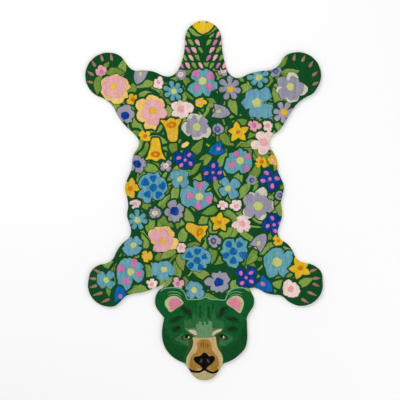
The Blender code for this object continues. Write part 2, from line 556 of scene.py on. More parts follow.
def dotted_bloom(drawing, rng, place, petals, dot, count=4):
    """A dark bloom with a pale spot on each petal and one in the middle."""
    long, wide = 0.24 * place.radius, 0.17 * place.radius
    for angle in round_petals(drawing, rng, place, petals, count):
        spot = ellipse(*from_middle(place, angle, 0.6), long, wide, angle + rng.uniform(-0.6, 0.6))
        drawing.add(hand_cut(spot, rng, 1.0 * MM), dot)
    heart(drawing, rng, place, dot, 0.16)


def bud(drawing, rng, place, yarn):
    """A closed bud in its sepals."""
    root, turn, radius = from_middle(place, place.turn, -0.8), place.turn, place.radius
    sepals = [leaf(*root, turn + side * 0.62, 1.05 * radius, 0.5 * radius) for side in (-1, 1)]
    drawing.set_apart(sepals, "moss_green")
    body = petal(*root, turn, 1.8 * radius, 0.92 * radius, full=0.48)
    drawing.set_apart([hand_cut(body, rng, 0.8 * MM)], yarn, CLASP_GAP)


# The mix of the field: for each kind, its size, how many there are and its yarns.
Kind = namedtuple("Kind", "size count draw yarns")
BLOOM_MIX = [
    Kind("large", 4, inlaid_bloom, dict(petals="sky_blue", inlay="mauve_pink", middle="lime", count=4)),
    Kind("large", 3, inlaid_bloom, dict(petals="sky_blue", inlay="mid_blue", middle="mid_blue")),
    Kind("large", 3, layered_rose, dict(outer="peach", inner="rose_pink", middle="sun_yellow")),
    Kind("large", 3, edged_bloom, dict(edging="bone", petals="lilac", middle="lime")),
    Kind("large", 2, blossom, dict(petals="sky_blue", middle="lime")),
    Kind("medium", 4, star_bloom, dict(petals="sun_yellow", middle="orange")),
    Kind("medium", 5, dotted_bloom, dict(petals="royal_blue", dot="mauve_pink")),
    Kind("medium", 6, blossom, dict(petals="sky_blue", middle="lime", count=4)),
    Kind("medium", 4, blossom, dict(petals="lilac", middle="royal_blue", middle_share=0.42)),
    Kind("medium", 3, tulip, dict(petals="lilac", inner="rose_pink", throat="lime")),
    Kind("medium", 3, bell, dict(petals="sun_yellow", mouth="orange", throat="sun_yellow")),
    Kind("medium", 3, daisy, dict(petals="sky_blue", middle="lime")),
    Kind("medium", 2, daisy, dict(petals="lilac", middle="sun_yellow")),
    Kind("medium", 3, tulip, dict(petals="mid_blue", inner="royal_blue", throat="mauve_pink")),
    Kind("medium", 4, blossom, dict(petals="blush", middle="rose_pink", middle_share=0.34)),
    Kind("small", 7, blossom, dict(petals="blush", middle="rose_pink", middle_share=0.38)),
    Kind("small", 5, ringed_bloom, dict(petals="lilac", ring="mid_blue", middle="orange")),
    Kind("small", 4, blossom, dict(petals="sun_yellow", middle="orange", count=4, middle_share=0.34)),
    Kind("small", 3, blossom, dict(petals="rose_pink", middle="mauve_pink", count=4, middle_share=0.36)),
    Kind("small", 4, ringed_bloom, dict(petals="lilac", ring="blush", middle="lime", count=4)),
    Kind("small", 3, blossom, dict(petals="sun_yellow", middle="rose_pink", middle_share=0.36)),
]
BUD_YARNS = ["sun_yellow", "peach", "rose_pink", "sun_yellow", "mauve_pink"]
LEAF_YARNS = ["leaf_green", "leaf_green", "moss_green"]


# ---------------------------------------------------------------- the bear's head and claws

# Guide points in millimetres from the middle of the rug, measured on the bear's face.
HEAD_TOP = [
    (-184, -380), (-169, -369), (-150, -365), (-121, -364), (-100, -368), (-84, -382), (-75, -399),
    (-69, -413), (-42, -413), (-15, -412), (-4, -407), (7, -404), (17, -407), (25, -412), (58, -414),
    (88, -416), (94, -401), (104, -384), (117, -372), (134, -366), (155, -364), (171, -368), (190, -380),
]
HEAD_FAR = [(240, -430), (240, -790), (-240, -790), (-240, -430)]
EAR_ARCS = [
    [(-155, -385), (-130, -381), (-109, -384), (-92, -396)],
    [(-152, -399), (-130, -392), (-109, -395), (-92, -410)],
    [(102, -397), (117, -384), (138, -381), (163, -386)],
    [(104, -410), (119, -395), (138, -391), (163, -399)],
]
FACE_AREAS = [
    ("ear_cream", [(-86, -431), (-95, -413), (-112, -401), (-130, -398), (-150, -406), (-163, -421),
                   (-163, -437), (-153, -453), (-140, -467), (-114, -450)]),
    ("ear_cream", [(94, -431), (102, -413), (119, -401), (138, -397), (156, -406), (166, -422),
                   (165, -441), (159, -457), (149, -471), (122, -451)]),
    ("brow_cream", [(-68, -543), (-56, -540), (-43, -541), (-33, -548), (-29, -559), (-35, -563),
                    (-46, -558), (-57, -550)]),
    ("brow_cream", [(33, -565), (34, -553), (46, -544), (59, -539), (72, -537), (76, -542), (64, -549),
                    (53, -554), (44, -563)]),
    ("eye_dark", [(-98, -576), (-86, -561), (-70, -555), (-55, -560), (-50, -573), (-60, -581),
                  (-76, -585), (-88, -583)]),
    ("eye_dark", [(104, -577), (92, -562), (76, -555), (61, -558), (54, -572), (63, -581),
                  (79, -585), (94, -583)]),
    ("muzzle_cream", [(-48, -572), (-33, -572), (-17, -574), (17, -573), (33, -571), (48, -568),
                      (51, -585), (55, -608), (64, -627), (73, -641), (79, -661), (79, -683), (92, -717),
                      (46, -771), (-38, -771), (-88, -717), (-76, -681), (-73, -658), (-62, -637),
                      (-51, -619), (-46, -601), (-46, -583)]),
    ("chin_sand", [(-62, -709), (-50, -717), (-31, -721), (-13, -718), (1, -710), (15, -718),
                   (32, -725), (50, -722), (64, -712), (92, -733), (46, -775), (-38, -775),
                   (-84, -733)]),
    ("nose_black", [(2, -635), (13, -641), (21, -651), (35, -649), (43, -653), (46, -663), (38, -677),
                    (29, -685), (20, -691), (12, -699), (8, -709), (-5, -709), (-9, -699), (-16, -690),
                    (-25, -684), (-35, -677), (-43, -665), (-40, -654), (-23, -651), (-14, -648),
                    (-7, -640)]),
    ("nostril_grey", [(-15, -661), (-9, -660), (-5, -668), (-9, -676), (-21, -679), (-15, -670)]),
    ("nostril_grey", [(10, -664), (16, -661), (21, -668), (26, -677), (17, -678), (12, -671)]),
]
# Strands of fur that stand straight up over the brow: where each stands, its foot and its tip.
Strand = namedtuple("Strand", "x foot tip width")
SAGE_STRANDS = [
    Strand(-75, -534, -498, 18), Strand(-58, -534, -496, 18), Strand(-38, -534, -474, 18),
    Strand(-20, -534, -488, 18), Strand(-5, -534, -481, 13), Strand(6, -534, -462, 10),
    Strand(20, -534, -492, 18), Strand(41, -534, -474, 20), Strand(59, -534, -499, 18),
    Strand(75, -534, -500, 17),
]
PALE_STRANDS = [
    Strand(-40, -552, -534, 14), Strand(-28, -582, -514, 11), Strand(-16, -582, -505, 12),
    Strand(-6, -582, -520, 10), Strand(4, -582, -507, 10), Strand(14, -582, -518, 11),
    Strand(26, -582, -503, 16),
]
BRIDGE_STRANDS = [
    Strand(-12, -616, -593, 4), Strand(-3, -620, -589, 4), Strand(7, -616, -593, 4),
    Strand(16, -618, -596, 4),
]
CHEEK = [(64, -604), (104, -606), (140, -570), (186, -500), (230, -600), (130, -740), (84, -672)]
FUR_SHADOWS = [
    Strand(-16, -496, -436, 8), Strand(20, -498, -444, 11), Strand(-34, -450, -420, 7),
    Strand(36, -456, -424, 8),
]
FUR_LIGHTS = [
    Strand(-6, -478, -418, 7), Strand(8, -470, -424, 6), Strand(-26, -470, -430, 6),
    Strand(29, -474, -428, 7),
]
MUZZLE_SIDE = [
    (-44, -558), (-59, -560), (-67, -588), (-64, -604), (-74, -628), (-80, -654), (-66, -640), (-48, -612),
]
BROW_HALO = [
    (-82, -535), (-66, -529), (-46, -529), (-28, -540), (-22, -566), (-36, -572), (-50, -566), (-64, -552),
]
Stroke = namedtuple("Stroke", "x0 y0 x1 y1 width")
FUR_DASHES = [
    Stroke(-90, -440, -55, -487, 14), Stroke(-144, -506, -86, -487, 11),
    Stroke(-134, -537, -97, -538, 14), Stroke(57, -487, 97, -446, 14),
    Stroke(91, -487, 146, -506, 11), Stroke(95, -534, 139, -540, 14),
]


def oval(x, y, long, wide, angle=0.0, step=3.0):
    """An ellipse given in millimetres."""
    return ellipse(x * MM, y * MM, long * MM, wide * MM, angle, step * MM)


def both_sides(points):
    """A closed shape through guide points, and the same on the head's other side."""
    return [through(points), through([(-x, y) for x, y in points[::-1]])]


def strands(rows):
    """The outlines of strands, each cut off at a slant on its right side."""
    shapes = []
    for x, foot, tip, width in rows:
        half, drop = width / 2, 0.4 * width
        corners = [(x - half, foot), (x + half, foot), (x + half, tip - drop), (x, tip), (x - half, tip)]
        shapes.append(np.array(corners) * MM)
    return shapes


def run_and_angle(x0, y0, x1, y1):
    """The length of a stroke, in metres, and its direction."""
    return math.dist((x0, y0), (x1, y1)) * MM, math.atan2(y1 - y0, x1 - x0)


def dash_strokes(dash):
    """Three pointed strokes side by side, the outer ones shorter."""
    run, angle = run_and_angle(*dash[:4])
    strokes = []
    for side, start, share in ((-0.5, 0.0, 0.7), (0.0, 0.1, 0.9), (0.5, 0.32, 0.64)):
        x = dash.x0 * MM + start * run * math.cos(angle) - side * dash.width * MM * math.sin(angle)
        y = dash.y0 * MM + start * run * math.sin(angle) + side * dash.width * MM * math.cos(angle)
        strokes.append(leaf(x, y, angle, share * run, 0.7 * dash.width * MM, 0.06, step=4 * MM))
    return strokes


def dash_shadow(dash):
    """The darker fur round a dash."""
    run, angle = run_and_angle(*dash[:4])
    x, y = (dash.x0 + dash.x1) / 2 * MM, (dash.y0 + dash.y1) / 2 * MM
    return ellipse(x, y, 0.62 * run, 1.1 * dash.width * MM, angle)


# Where yarns are mixed tuft by tuft: the yarn below, the yarn above, how wide the change is in
# millimetres, the largest share, and where.
Shade = namedtuple("Shade", "under over soft most outlines")
SOFT_SHADES = [
    Shade("bear_green", "bear_dark", 34, 0.8, both_sides(CHEEK)),
    Shade("bear_green", "bear_light", 26, 0.5, [
        through([(-62, -396), (66, -396), (50, -440), (96, -500), (-92, -500), (-44, -440)])]),
    Shade("bear_green", "bear_dark", 5, 0.8, strands(FUR_SHADOWS)),
    Shade("bear_green", "bear_light", 5, 0.8, strands(FUR_LIGHTS)),
    Shade("bear_green", "socket_green", 14, 0.7, [
        through([(-122, -578), (-104, -562), (-84, -552), (-52, -556), (-50, -590), (-66, -610),
                 (-92, -600)]),
        through([(124, -576), (106, -560), (84, -551), (54, -556), (54, -590), (70, -612), (98, -602)])]),
    Shade("bear_green", "brow_sage", 9, 0.9, both_sides(BROW_HALO)),
    Shade("bear_green", "bear_dark", 14, 0.9, [dash_shadow(dash) for dash in FUR_DASHES]),
    Shade("bear_green", "dash_brown", 5, 1.0, sum(map(dash_strokes, FUR_DASHES), [])),
    Shade("bear_green", "olive_shadow", 9, 0.8, both_sides(MUZZLE_SIDE)),
    Shade("bear_green", "fur_sage", 5, 1.0, strands(SAGE_STRANDS)),
    Shade("bear_green", "fur_pale", 5, 1.0, strands(PALE_STRANDS)),
    Shade("ear_cream", "ear_pink", 6, 1.0, [
        through([(-92, -431), (-103, -415), (-117, -408), (-134, -409), (-144, -419), (-147, -432),
                 (-143, -446), (-136, -460), (-114, -447)]),
        through([(99, -431), (109, -415), (123, -408), (140, -409), (151, -419), (155, -432),
                 (150, -447), (146, -463), (122, -448)])]),
    Shade("brow_cream", "ear_cream", 8, 0.9, [
        oval(-66, -538, 12, 8), oval(78, -535, 10, 8), oval(38, -560, 9, 8)]),
    Shade("muzzle_cream", "muzzle_tan", 7, 1.0, [
        through([(-42, -572), (0, -577), (41, -572), (45, -600), (56, -628), (66, -645), (71, -664),
                 (70, -690), (58, -712), (-54, -712), (-67, -690), (-66, -662), (-54, -637), (-41, -612)])]),
    Shade("muzzle_cream", "muzzle_gold", 15, 1.0, [
        through([(-28, -598), (-20, -584), (0, -579), (20, -584), (28, -598), (32, -620), (44, -638),
                 (56, -652), (63, -676), (54, -708), (28, -712), (4, -697), (-17, -705), (-46, -712),
                 (-60, -694), (-60, -668), (-50, -647), (-34, -633), (-27, -616)])]),
    Shade("muzzle_cream", "bridge_brown", 9, 1.0, [
        through([(-24, -606), (-20, -588), (-2, -584), (20, -588), (24, -606), (26, -632), (8, -640),
                 (-10, -640), (-26, -632)])]),
    Shade("muzzle_cream", "bridge_umber", 3, 1.0, strands(BRIDGE_STRANDS)),
    Shade("muzzle_cream", "chin_sand", 8, 0.5, [
        oval(-22, -702, 15, 5, 0.35), oval(25, -703, 12, 5, -0.35),
        oval(-18, -645, 9, 4, 0.5), oval(24, -645, 11, 4, -0.3)]),
]
MOUTH = [
    [(-63, -701), (-53, -712), (-33, -716), (-15, -714), (-4, -706), (1, -698)],
    [(1, -698), (10, -709), (32, -719), (48, -717), (62, -706)],
]
Round = namedtuple("Round", "yarn x y long wide")
EYE_PARTS = [
    Round("eye_olive", -74, -573, 13, 10),
    Round("nose_black", -73, -569, 6.5, 7.5),
    Round("eye_light", -64, -571, 3.2, 4.6),
    Round("eye_olive", 77, -574, 13, 10),
    Round("nose_black", 74, -569, 6.5, 7.5),
    Round("eye_light", 82, -571, 3.2, 4.8),
]
Claw = namedtuple("Claw", "tip_x tip_y root_x root_y")
CLAWS = [
    Claw(-391, 620, -384, 583), Claw(-433, 614, -422, 581), Claw(-472, 590, -453, 558),
    Claw(-492, 543, -460, 522), Claw(-493, 499, -464, 492),
    Claw(382, 617, 374, 583), Claw(424, 610, 409, 579), Claw(458, 587, 439, 556),
    Claw(480, 542, 451, 520), Claw(485, 498, 453, 483),
    Claw(-468, -284, -432, -303), Claw(-486, -325, -449, -328), Claw(-482, -366, -445, -354),
    Claw(-471, -399, -422, -384), Claw(-436, -429, -393, -411),
    Claw(477, -285, 441, -297), Claw(492, -324, 453, -326), Claw(487, -361, 453, -346),
    Claw(477, -400, 432, -381), Claw(442, -431, 405, -410),
]
CLAW_WIDTH = 14 * MM
HEAD_LINE_WIDTH = 5 * MM
EAR_LINE_WIDTH = 3.2 * MM
MOUTH_WIDTH = 9 * MM


def head_outline():
    """The head's region: its top line, then well past the rug's edge."""
    return np.vstack([through(HEAD_TOP, closed=False), through(HEAD_FAR, closed=False)])


def draw_fur(drawing):
    """Head fur with its pale lines; what shades off softly is in SOFT_SHADES."""
    drawing.add(head_outline(), "bear_green")
    drawing.add(band(through(HEAD_TOP, closed=False), HEAD_LINE_WIDTH), "fur_mint")
    for arc in EAR_ARCS:
        drawing.add(band(through(arc, closed=False), EAR_LINE_WIDTH, taper=0.2), "fur_mint")


def draw_face(drawing):
    """Ears, brow, eyes, muzzle, nose and mouth."""
    for yarn, guide in FACE_AREAS:
        drawing.add(through(guide, step=2.6 * MM), yarn)
    for yarn, x, y, long, wide in EYE_PARTS:
        drawing.add(oval(x, y, long, wide, step=2.2), yarn)
    lips = drawing.new_area("nose_black")
    for line in MOUTH:
        drawing.paint(band(through(line, step=2.6 * MM, closed=False), MOUTH_WIDTH, taper=0.12), lips)


def draw_claws(drawing):
    """Five strokes round each paw, thin at the paw's edge and round inside."""
    for claw in CLAWS:
        run, angle = run_and_angle(*claw)
        drawing.add(petal(claw.tip_x * MM, claw.tip_y * MM, angle, run, CLAW_WIDTH, full=0.74), "claw_rose")


# ---------------------------------------------------------------- laying out the flowered field

TAIL_START = 548 * MM
# The tail's rows of petals, in millimetres and degrees.
TAIL_X = -4
TAIL_FOOT = 550
TAIL_ROWS = 5
TAIL_ROW_PITCH = 32
TAIL_PETAL_PITCH = 27
TAIL_PETAL_LEAN = 32
TAIL_YARNS = ["rose_pink", "leaf_green", "mauve_pink", "rose_pink", "leaf_green"]
CLAW_ROOM = 36 * MM
SCATTER_CLEAR_OF_CLAW = 18 * MM
EASED_CLEAR_OF_CLAW = 10 * MM
EASING_STEPS = 260
LEAF_DIRECTIONS = 30
LEAF_STEP = 4 * MM
LEAVES_APART = 0.75
SHORTEST_LEAF_ROOM = 24 * MM
LEAF_YARN_SWITCH = {"leaf_green": "moss_green", "moss_green": "leaf_green"}
GAP_CELL = 5 * MM
SMALLEST_GAP = 22 * MM
SPRAY_GAP = 27 * MM
MOST_GAPS = 80
Spot = namedtuple("Spot", "x y radius")
Bounds = namedtuple("Bounds", "edge head claws")


def pick(rng, choices):
    return choices[rng.integers(len(choices))]


def leaf_gap(rng):
    """The width of the ground line round a leaf, which some leaves lack."""
    return max(0.0, rng.uniform(-1, 14)) * MM


def field_box(edge):
    """The lowest and highest corners of the flowered field."""
    low, high = edge.min(0), edge.max(0)
    high[1] = TAIL_START
    return low, high


def push_apart(places, others, reach, share):
    """Move places off others that lie nearer than their reach, by a share of what is missing."""
    apart = places[:, None] - others
    gap = np.hypot(*apart.transpose(2, 0, 1)) + NEARLY_NOTHING
    press = np.maximum(reach - gap, 0.0) / gap
    places += share * (apart * press[:, :, None]).sum(1)


def push_clear(places, outline, side, room):
    """Move places that lack room inside an outline (side 1) or outside it (side -1)."""
    inner, nearest = edge_distance(places, outline)
    short = np.maximum(room - side * inner, 0.0)
    towards = unit((places - nearest) * side * np.sign(inner)[:, None])
    places += 0.6 * towards * short[:, None]


def place_blooms(rng, radii, bounds):
    """Scatter discs of the given radii over the field, then ease them apart."""
    places = np.zeros((len(radii), 2))
    for i, radius in enumerate(radii):
        tries = rng.uniform(*field_box(bounds.edge), (400, 2))
        rooms = [
            edge_distance(tries, bounds.edge)[0] - 0.55 * radius,
            -edge_distance(tries, bounds.head)[0] - 0.45 * radius,
            distances(tries, bounds.claws).min(1) - radius - SCATTER_CLEAR_OF_CLAW,
        ]
        if i:
            rooms.append((distances(tries, places[:i]) - radii[:i] - radius).min(1))
        places[i] = tries[np.argmax(np.min(rooms, axis=0))]
    closeness = rng.uniform(0.74, 1.06, (len(radii), len(radii)))
    reach = (radii[:, None] + radii[None, :]) * (closeness + closeness.T) / 2
    np.fill_diagonal(reach, 0.0)
    for _ in range(EASING_STEPS):
        push_apart(places, places, reach, 0.3)
        push_clear(places, bounds.edge, 1, 0.5 * radii)
        push_clear(places, bounds.head, -1, 0.35 * radii)
        push_apart(places, bounds.claws, radii[:, None] + EASED_CLEAR_OF_CLAW, 0.5)
        places[:, 1] = np.minimum(places[:, 1], TAIL_START - 0.3 * radii)
    return [Spot(x, y, radius) for (x, y), radius in zip(places, radii)]


def leaf_directions(spot, spots, edge, rng, longest):
    """Directions round a bloom, with the room there is for a leaf in each."""
    turns = rng.uniform(0, math.tau) + np.arange(LEAF_DIRECTIONS) * math.tau / LEAF_DIRECTIONS
    steps = np.arange(LEAF_STEP, longest, LEAF_STEP)
    room = []
    for turn in turns:
        line = np.column_stack(polar(spot.x, spot.y, turn, spot.radius * 0.8 + steps))
        clear = edge_distance(line, edge)[0] > -6 * MM
        for other in spots:
            if other is not spot:
                clear &= np.hypot(line[:, 0] - other.x, line[:, 1] - other.y) > 0.86 * other.radius
        blocked = np.flatnonzero(~clear)
        room.append(steps[blocked[0]] if len(blocked) else longest)
    return turns, np.array(room)


def draw_leaves(drawing, rng, spots, bounds, longest):
    """Leaves that grow from under each bloom into the open ground."""
    taken_spots = spots + [Spot(x, y, CLAW_ROOM) for x, y in bounds.claws]
    for spot in spots:
        turns, room = leaf_directions(spot, taken_spots, bounds.edge, rng, longest)
        wanted = 3 if spot.radius > 50 * MM else 2 if spot.radius > 35 * MM else int(rng.integers(2))
        taken = []
        for i in np.argsort(-room * rng.uniform(0.7, 1.0, len(room))):
            near = [abs((turns[i] - t + math.pi) % math.tau - math.pi) for t in taken]
            if room[i] < SHORTEST_LEAF_ROOM or (near and min(near) < LEAVES_APART):
                continue
            taken.append(turns[i])
            root = polar(spot.x, spot.y, turns[i], 0.45 * spot.radius)
            length = 0.4 * spot.radius + min(room[i] * 1.08, longest)
            width = np.clip(length * rng.uniform(0.36, 0.56), 18 * MM, 40 * MM)
            draw_leaf(drawing, rng, *root, turns[i] + rng.uniform(-0.2, 0.2), length, width)
            if len(taken) == wanted:
                break


def draw_leaf(drawing, rng, x, y, turn, length, width):
    """One leaf, some of them with their two halves in different greens."""
    bend, yarn = rng.uniform(-0.12, 0.12), pick(rng, LEAF_YARNS)
    blade = leaf(x, y, turn, length, width, bend)
    blade += rng.uniform(-1.3, 1.3, blade.shape) * MM
    drawing.set_apart([blade], yarn, leaf_gap(rng))
    if rng.random() < 0.2 and width > 26 * MM:
        side = 1 if rng.random() < 0.5 else -1
        drawing.add(leaf(x, y, turn, length, width, bend, half=side), LEAF_YARN_SWITCH[yarn])


def draw_spray(drawing, rng, x, y, turn, reach):
    """Three or four broad leaves that spring from one place, as one area."""
    lobes = rng.integers(3, 5)
    root = polar(x, y, turn, -0.7 * reach)
    blades = []
    for lobe in range(lobes):
        aim = turn + (lobe - (lobes - 1) / 2) * rng.uniform(0.6, 0.8)
        length = reach * rng.uniform(1.5, 1.9)
        blades.append(leaf(*root, aim, length, 0.44 * length, rng.uniform(-0.1, 0.1)))
    drawing.set_apart(blades, pick(rng, LEAF_YARNS), leaf_gap(rng))


def draw_stems(drawing, rng, spots, width):
    """Thin bent stems between some blooms that stand near each other."""
    for i, a in enumerate(spots):
        for b in spots[i + 1:]:
            gap = math.dist(a[:2], b[:2]) - a.radius - b.radius
            if not 2 * MM < gap < 80 * MM or rng.random() < 0.66:
                continue
            middle = (np.array(a[:2]) + b[:2]) / 2
            across = np.array([a.y - b.y, b.x - a.x]) * rng.uniform(-0.32, 0.32)
            line = through(np.array([a[:2], middle + across, b[:2]]) / MM, closed=False)
            yarn = "stem_green" if rng.random() < 0.6 else "leaf_green"
            drawing.set_apart([band(line, width * rng.uniform(0.8, 1.2))], yarn)


def fill_gaps(drawing, rng, bounds):
    """Set a bud, a leaf or a spray of leaves into each wide piece of bare ground, the widest first."""
    low, high = field_box(bounds.edge)
    xs, ys = np.arange(low[0], high[0], GAP_CELL), np.arange(low[1], high[1], GAP_CELL)
    grid = np.stack(np.meshgrid(xs, ys), axis=-1).reshape(-1, 2)
    bare = drawing.area_at(grid) == GROUND
    bare &= inside(grid, bounds.edge) & ~inside(grid, bounds.head)
    bare &= distances(grid, bounds.claws).min(1) > 0.8 * CLAW_ROOM
    for _ in range(MOST_GAPS):
        depth = room_round(bare.reshape(len(ys), len(xs)))
        best = int(depth.argmax())
        reach = depth.flat[best] * GAP_CELL
        if reach < SMALLEST_GAP:
            break
        x, y = grid[best]
        turn = open_direction(bare, grid, x, y, rng)
        start = len(drawing.outlines)
        if reach > SPRAY_GAP:
            draw_spray(drawing, rng, x, y, turn, 1.5 * reach)
        elif rng.random() < 0.3:
            bud(drawing, rng, Place(x, y, min(reach * 1.1, 22 * MM), turn), pick(rng, BUD_YARNS))
        else:
            by_claw = np.hypot(bounds.claws[:, 0] - x, bounds.claws[:, 1] - y).min() < 2 * CLAW_ROOM
            length = 2 * reach if by_claw else min(3.0 * reach, 84 * MM)
            root = polar(x, y, turn, -0.5 * length)
            draw_leaf(drawing, rng, *root, turn, length, min(1.25 * reach, 36 * MM))
        for outline in drawing.outlines[start:]:
            bare &= ~inside(grid, outline)


def room_round(bare):
    """How many cells of bare ground lie round each cell, by shrinking the bare ground step by step."""
    depth = np.zeros(bare.shape)
    left = bare.copy()
    for step in range(12):
        depth += left
        padded = np.pad(left, 1)
        left = left & padded[:-2, 1:-1] & padded[2:, 1:-1] & padded[1:-1, :-2] & padded[1:-1, 2:]
        if step % 2:
            left &= padded[:-2, :-2] & padded[2:, 2:] & padded[:-2, 2:] & padded[2:, :-2]
    return depth


def open_direction(bare, grid, x, y, rng):
    """The direction in which the bare ground round a place runs longest."""
    near = grid[bare & (np.hypot(grid[:, 0] - x, grid[:, 1] - y) < 30 * MM)]
    if len(near) < 4:
        return rng.uniform(0, math.tau)
    _, vectors = np.linalg.eigh(np.cov((near - near.mean(0)).T))
    return math.atan2(vectors[1, 1], vectors[0, 1]) + (math.pi if rng.random() < 0.5 else 0.0)


def draw_tail(drawing, rng):
    """Slanted petals and leaflets in chevron rows up the tail, with a fan at its tip."""
    for row in range(TAIL_ROWS):
        for place in range(-3, 4):
            x = (TAIL_X + TAIL_PETAL_PITCH * (place + (0.5 if row % 2 else 0))) * MM
            turn = math.radians(90 - TAIL_PETAL_LEAN if x > TAIL_X * MM else 90 + TAIL_PETAL_LEAN)
            long, wide = rng.uniform(33, 40) * MM, rng.uniform(14, 17) * MM
            shape = petal(x, (TAIL_FOOT + TAIL_ROW_PITCH * row) * MM, turn, long, wide, full=0.6)
            drawing.set_apart([hand_cut(shape, rng, 1.0 * MM)], TAIL_YARNS[(place + 2 * row) % 5])
    x = TAIL_X * MM
    for side in (-1, 1):
        blade = leaf(x, 690 * MM, math.radians(90 + side * 62), 72 * MM, 26 * MM, 0.08)
        drawing.set_apart([blade], "leaf_green")
    fan = [petal(x, 694 * MM, math.radians(90 + turn), 66 * MM, 30 * MM, 0.66) for turn in (-36, 0, 36)]
    drawing.set_apart([hand_cut(shape, rng) for shape in fan], "sun_yellow")


def draw_rug(field):
    """The whole pattern, from the ground up."""
    rng = np.random.default_rng(field.seed)
    drawing = Drawing()
    edge, head = (resample(line, 12 * MM, closed=True) for line in (rug_edge(), head_outline()))
    claws = np.array([((c.tip_x + c.root_x) / 2, (c.tip_y + c.root_y) / 2) for c in CLAWS]) * MM
    bounds = Bounds(edge, head, claws)
    kinds = []
    for size in ("large", "medium", "small"):
        of_size = [kind for kind in BLOOM_MIX if kind.size == size for _ in range(kind.count)]
        kinds += [of_size[i] for i in rng.permutation(len(of_size))]
    radii = np.array([getattr(field, kind.size) * rng.uniform(0.9, 1.08) for kind in kinds])
    spots = place_blooms(rng, radii, bounds)
    draw_stems(drawing, rng, spots, field.stem)
    draw_leaves(drawing, rng, spots, bounds, field.leaf)
    for i in rng.permutation(len(spots)):
        kinds[i].draw(drawing, rng, Place(*spots[i], rng.uniform(0, math.tau)), **kinds[i].yarns)
    fill_gaps(drawing, rng, bounds)
    draw_tail(drawing, rng)
    draw_claws(drawing)
    draw_fur(drawing)
    draw_face(drawing)
    return drawing


# ---------------------------------------------------------------- from the drawing to areas of pile

SEAM_STEP = 3.2 * MM
SAMPLE_STEP = 0.8 * MM
SMALLEST_AREA = 34 * MM * MM
SHARP_TURN = math.radians(24)
SAME_POINT = 1e-6
TUFT_SEED = 100
UNKNOWN = -9
BESIDE_SEAM = 1.35 * MM
CLEAR_OF_SEAM = 2.3 * MM
# The lowest and highest bump of a tuft in millimetres: beside a seam, on a ridge, in a furrow.
TUFT_BUMPS = ((-0.25, 0.25), (0.05, 0.65), (-0.75, -0.35))
Net = namedtuple("Net", "points triangles edges edge_sources became")
Seams = namedtuple("Seams", "points edges left right")
Cut = namedtuple("Cut", "points triangles areas")
SharedPile = namedtuple("SharedPile", "top base on_base relief fall edge_fall rim rim_out yarn_of")


def triangulate(points, edges):
    """Blender's triangulation of points and edges, its triangles anticlockwise, and what became of each."""
    given = [Vector(p) for p in points.tolist()]
    places, pairs, faces, point_sources, edge_sources, _ = delaunay_2d_cdt(given, edges, [], 0, SAME_POINT)
    places, faces = np.array([p[:] for p in places]), np.array(faces, np.int64)
    a, b, c = places[faces].transpose(1, 0, 2)
    clockwise = np.cross(b - a, c - a) < 0
    faces[clockwise] = faces[clockwise][:, ::-1]
    became = np.zeros(len(points), np.int64)
    for i, sources in enumerate(point_sources):
        became[sources] = i
    return Net(places, faces, pairs, edge_sources, became)


def look_up(keys, wanted):
    """Where each wanted key stands among the keys, or -1."""
    order = np.argsort(keys)
    at = order[np.clip(np.searchsorted(keys[order], wanted), 0, len(keys) - 1)]
    return np.where(keys[at] == wanted, at, -1)


def pair_up(triangles, count):
    """The directed edges of all triangles, and for each the place of its other half, or -1."""
    starts, ends = triangles.ravel(), np.roll(triangles, -1, axis=1).ravel()
    return starts, ends, look_up(starts * count + ends, ends * count + starts)


def triangles_across(other):
    """For each side of each triangle the triangle across it, or -1."""
    return np.where(other < 0, -1, other // 3).reshape(-1, 3)


def merge_scraps(places, triangles, areas, across):
    """Give every scrap of an area too small to tuft to the neighbour it touches most."""
    part = np.full(len(triangles), -1)
    a, b, c = places[triangles].transpose(1, 0, 2)
    sizes = 0.5 * np.cross(b - a, c - a)
    for seed in range(len(triangles)):
        if part[seed] >= 0 or areas[seed] == OUTSIDE:
            continue
        part[seed] = seed
        found, size = [seed], 0.0
        for here in found:
            size += sizes[here]
            for other in across[here]:
                if other >= 0 and part[other] < 0 and areas[other] == areas[seed]:
                    part[other] = seed
                    found.append(other)
        if size > SMALLEST_AREA:
            continue
        touch = defaultdict(float)
        for here in found:
            for side, other in enumerate(across[here]):
                if other >= 0 and areas[other] not in (OUTSIDE, areas[seed]):
                    touch[areas[other]] += math.dist(*places[triangles[here][[side, (side + 1) % 3]]])
        if touch:
            areas[found] = max(touch, key=touch.get)


def ways_along_seams(triangles, areas, across):
    """For each point on a seam, where the seam goes from it, with the areas on the left and right."""
    around = defaultdict(list)
    beyond = np.where(across < 0, OUTSIDE, areas[across])
    for t, side in zip(*np.nonzero(areas[:, None] != beyond)):
        mine, other = areas[t], beyond[t, side]
        if mine == OUTSIDE or (other != OUTSIDE and mine > other):
            continue
        a, b = triangles[t, side], triangles[t, (side + 1) % 3]
        around[a].append((b, mine, other))
        around[b].append((a, other, mine))
    return around


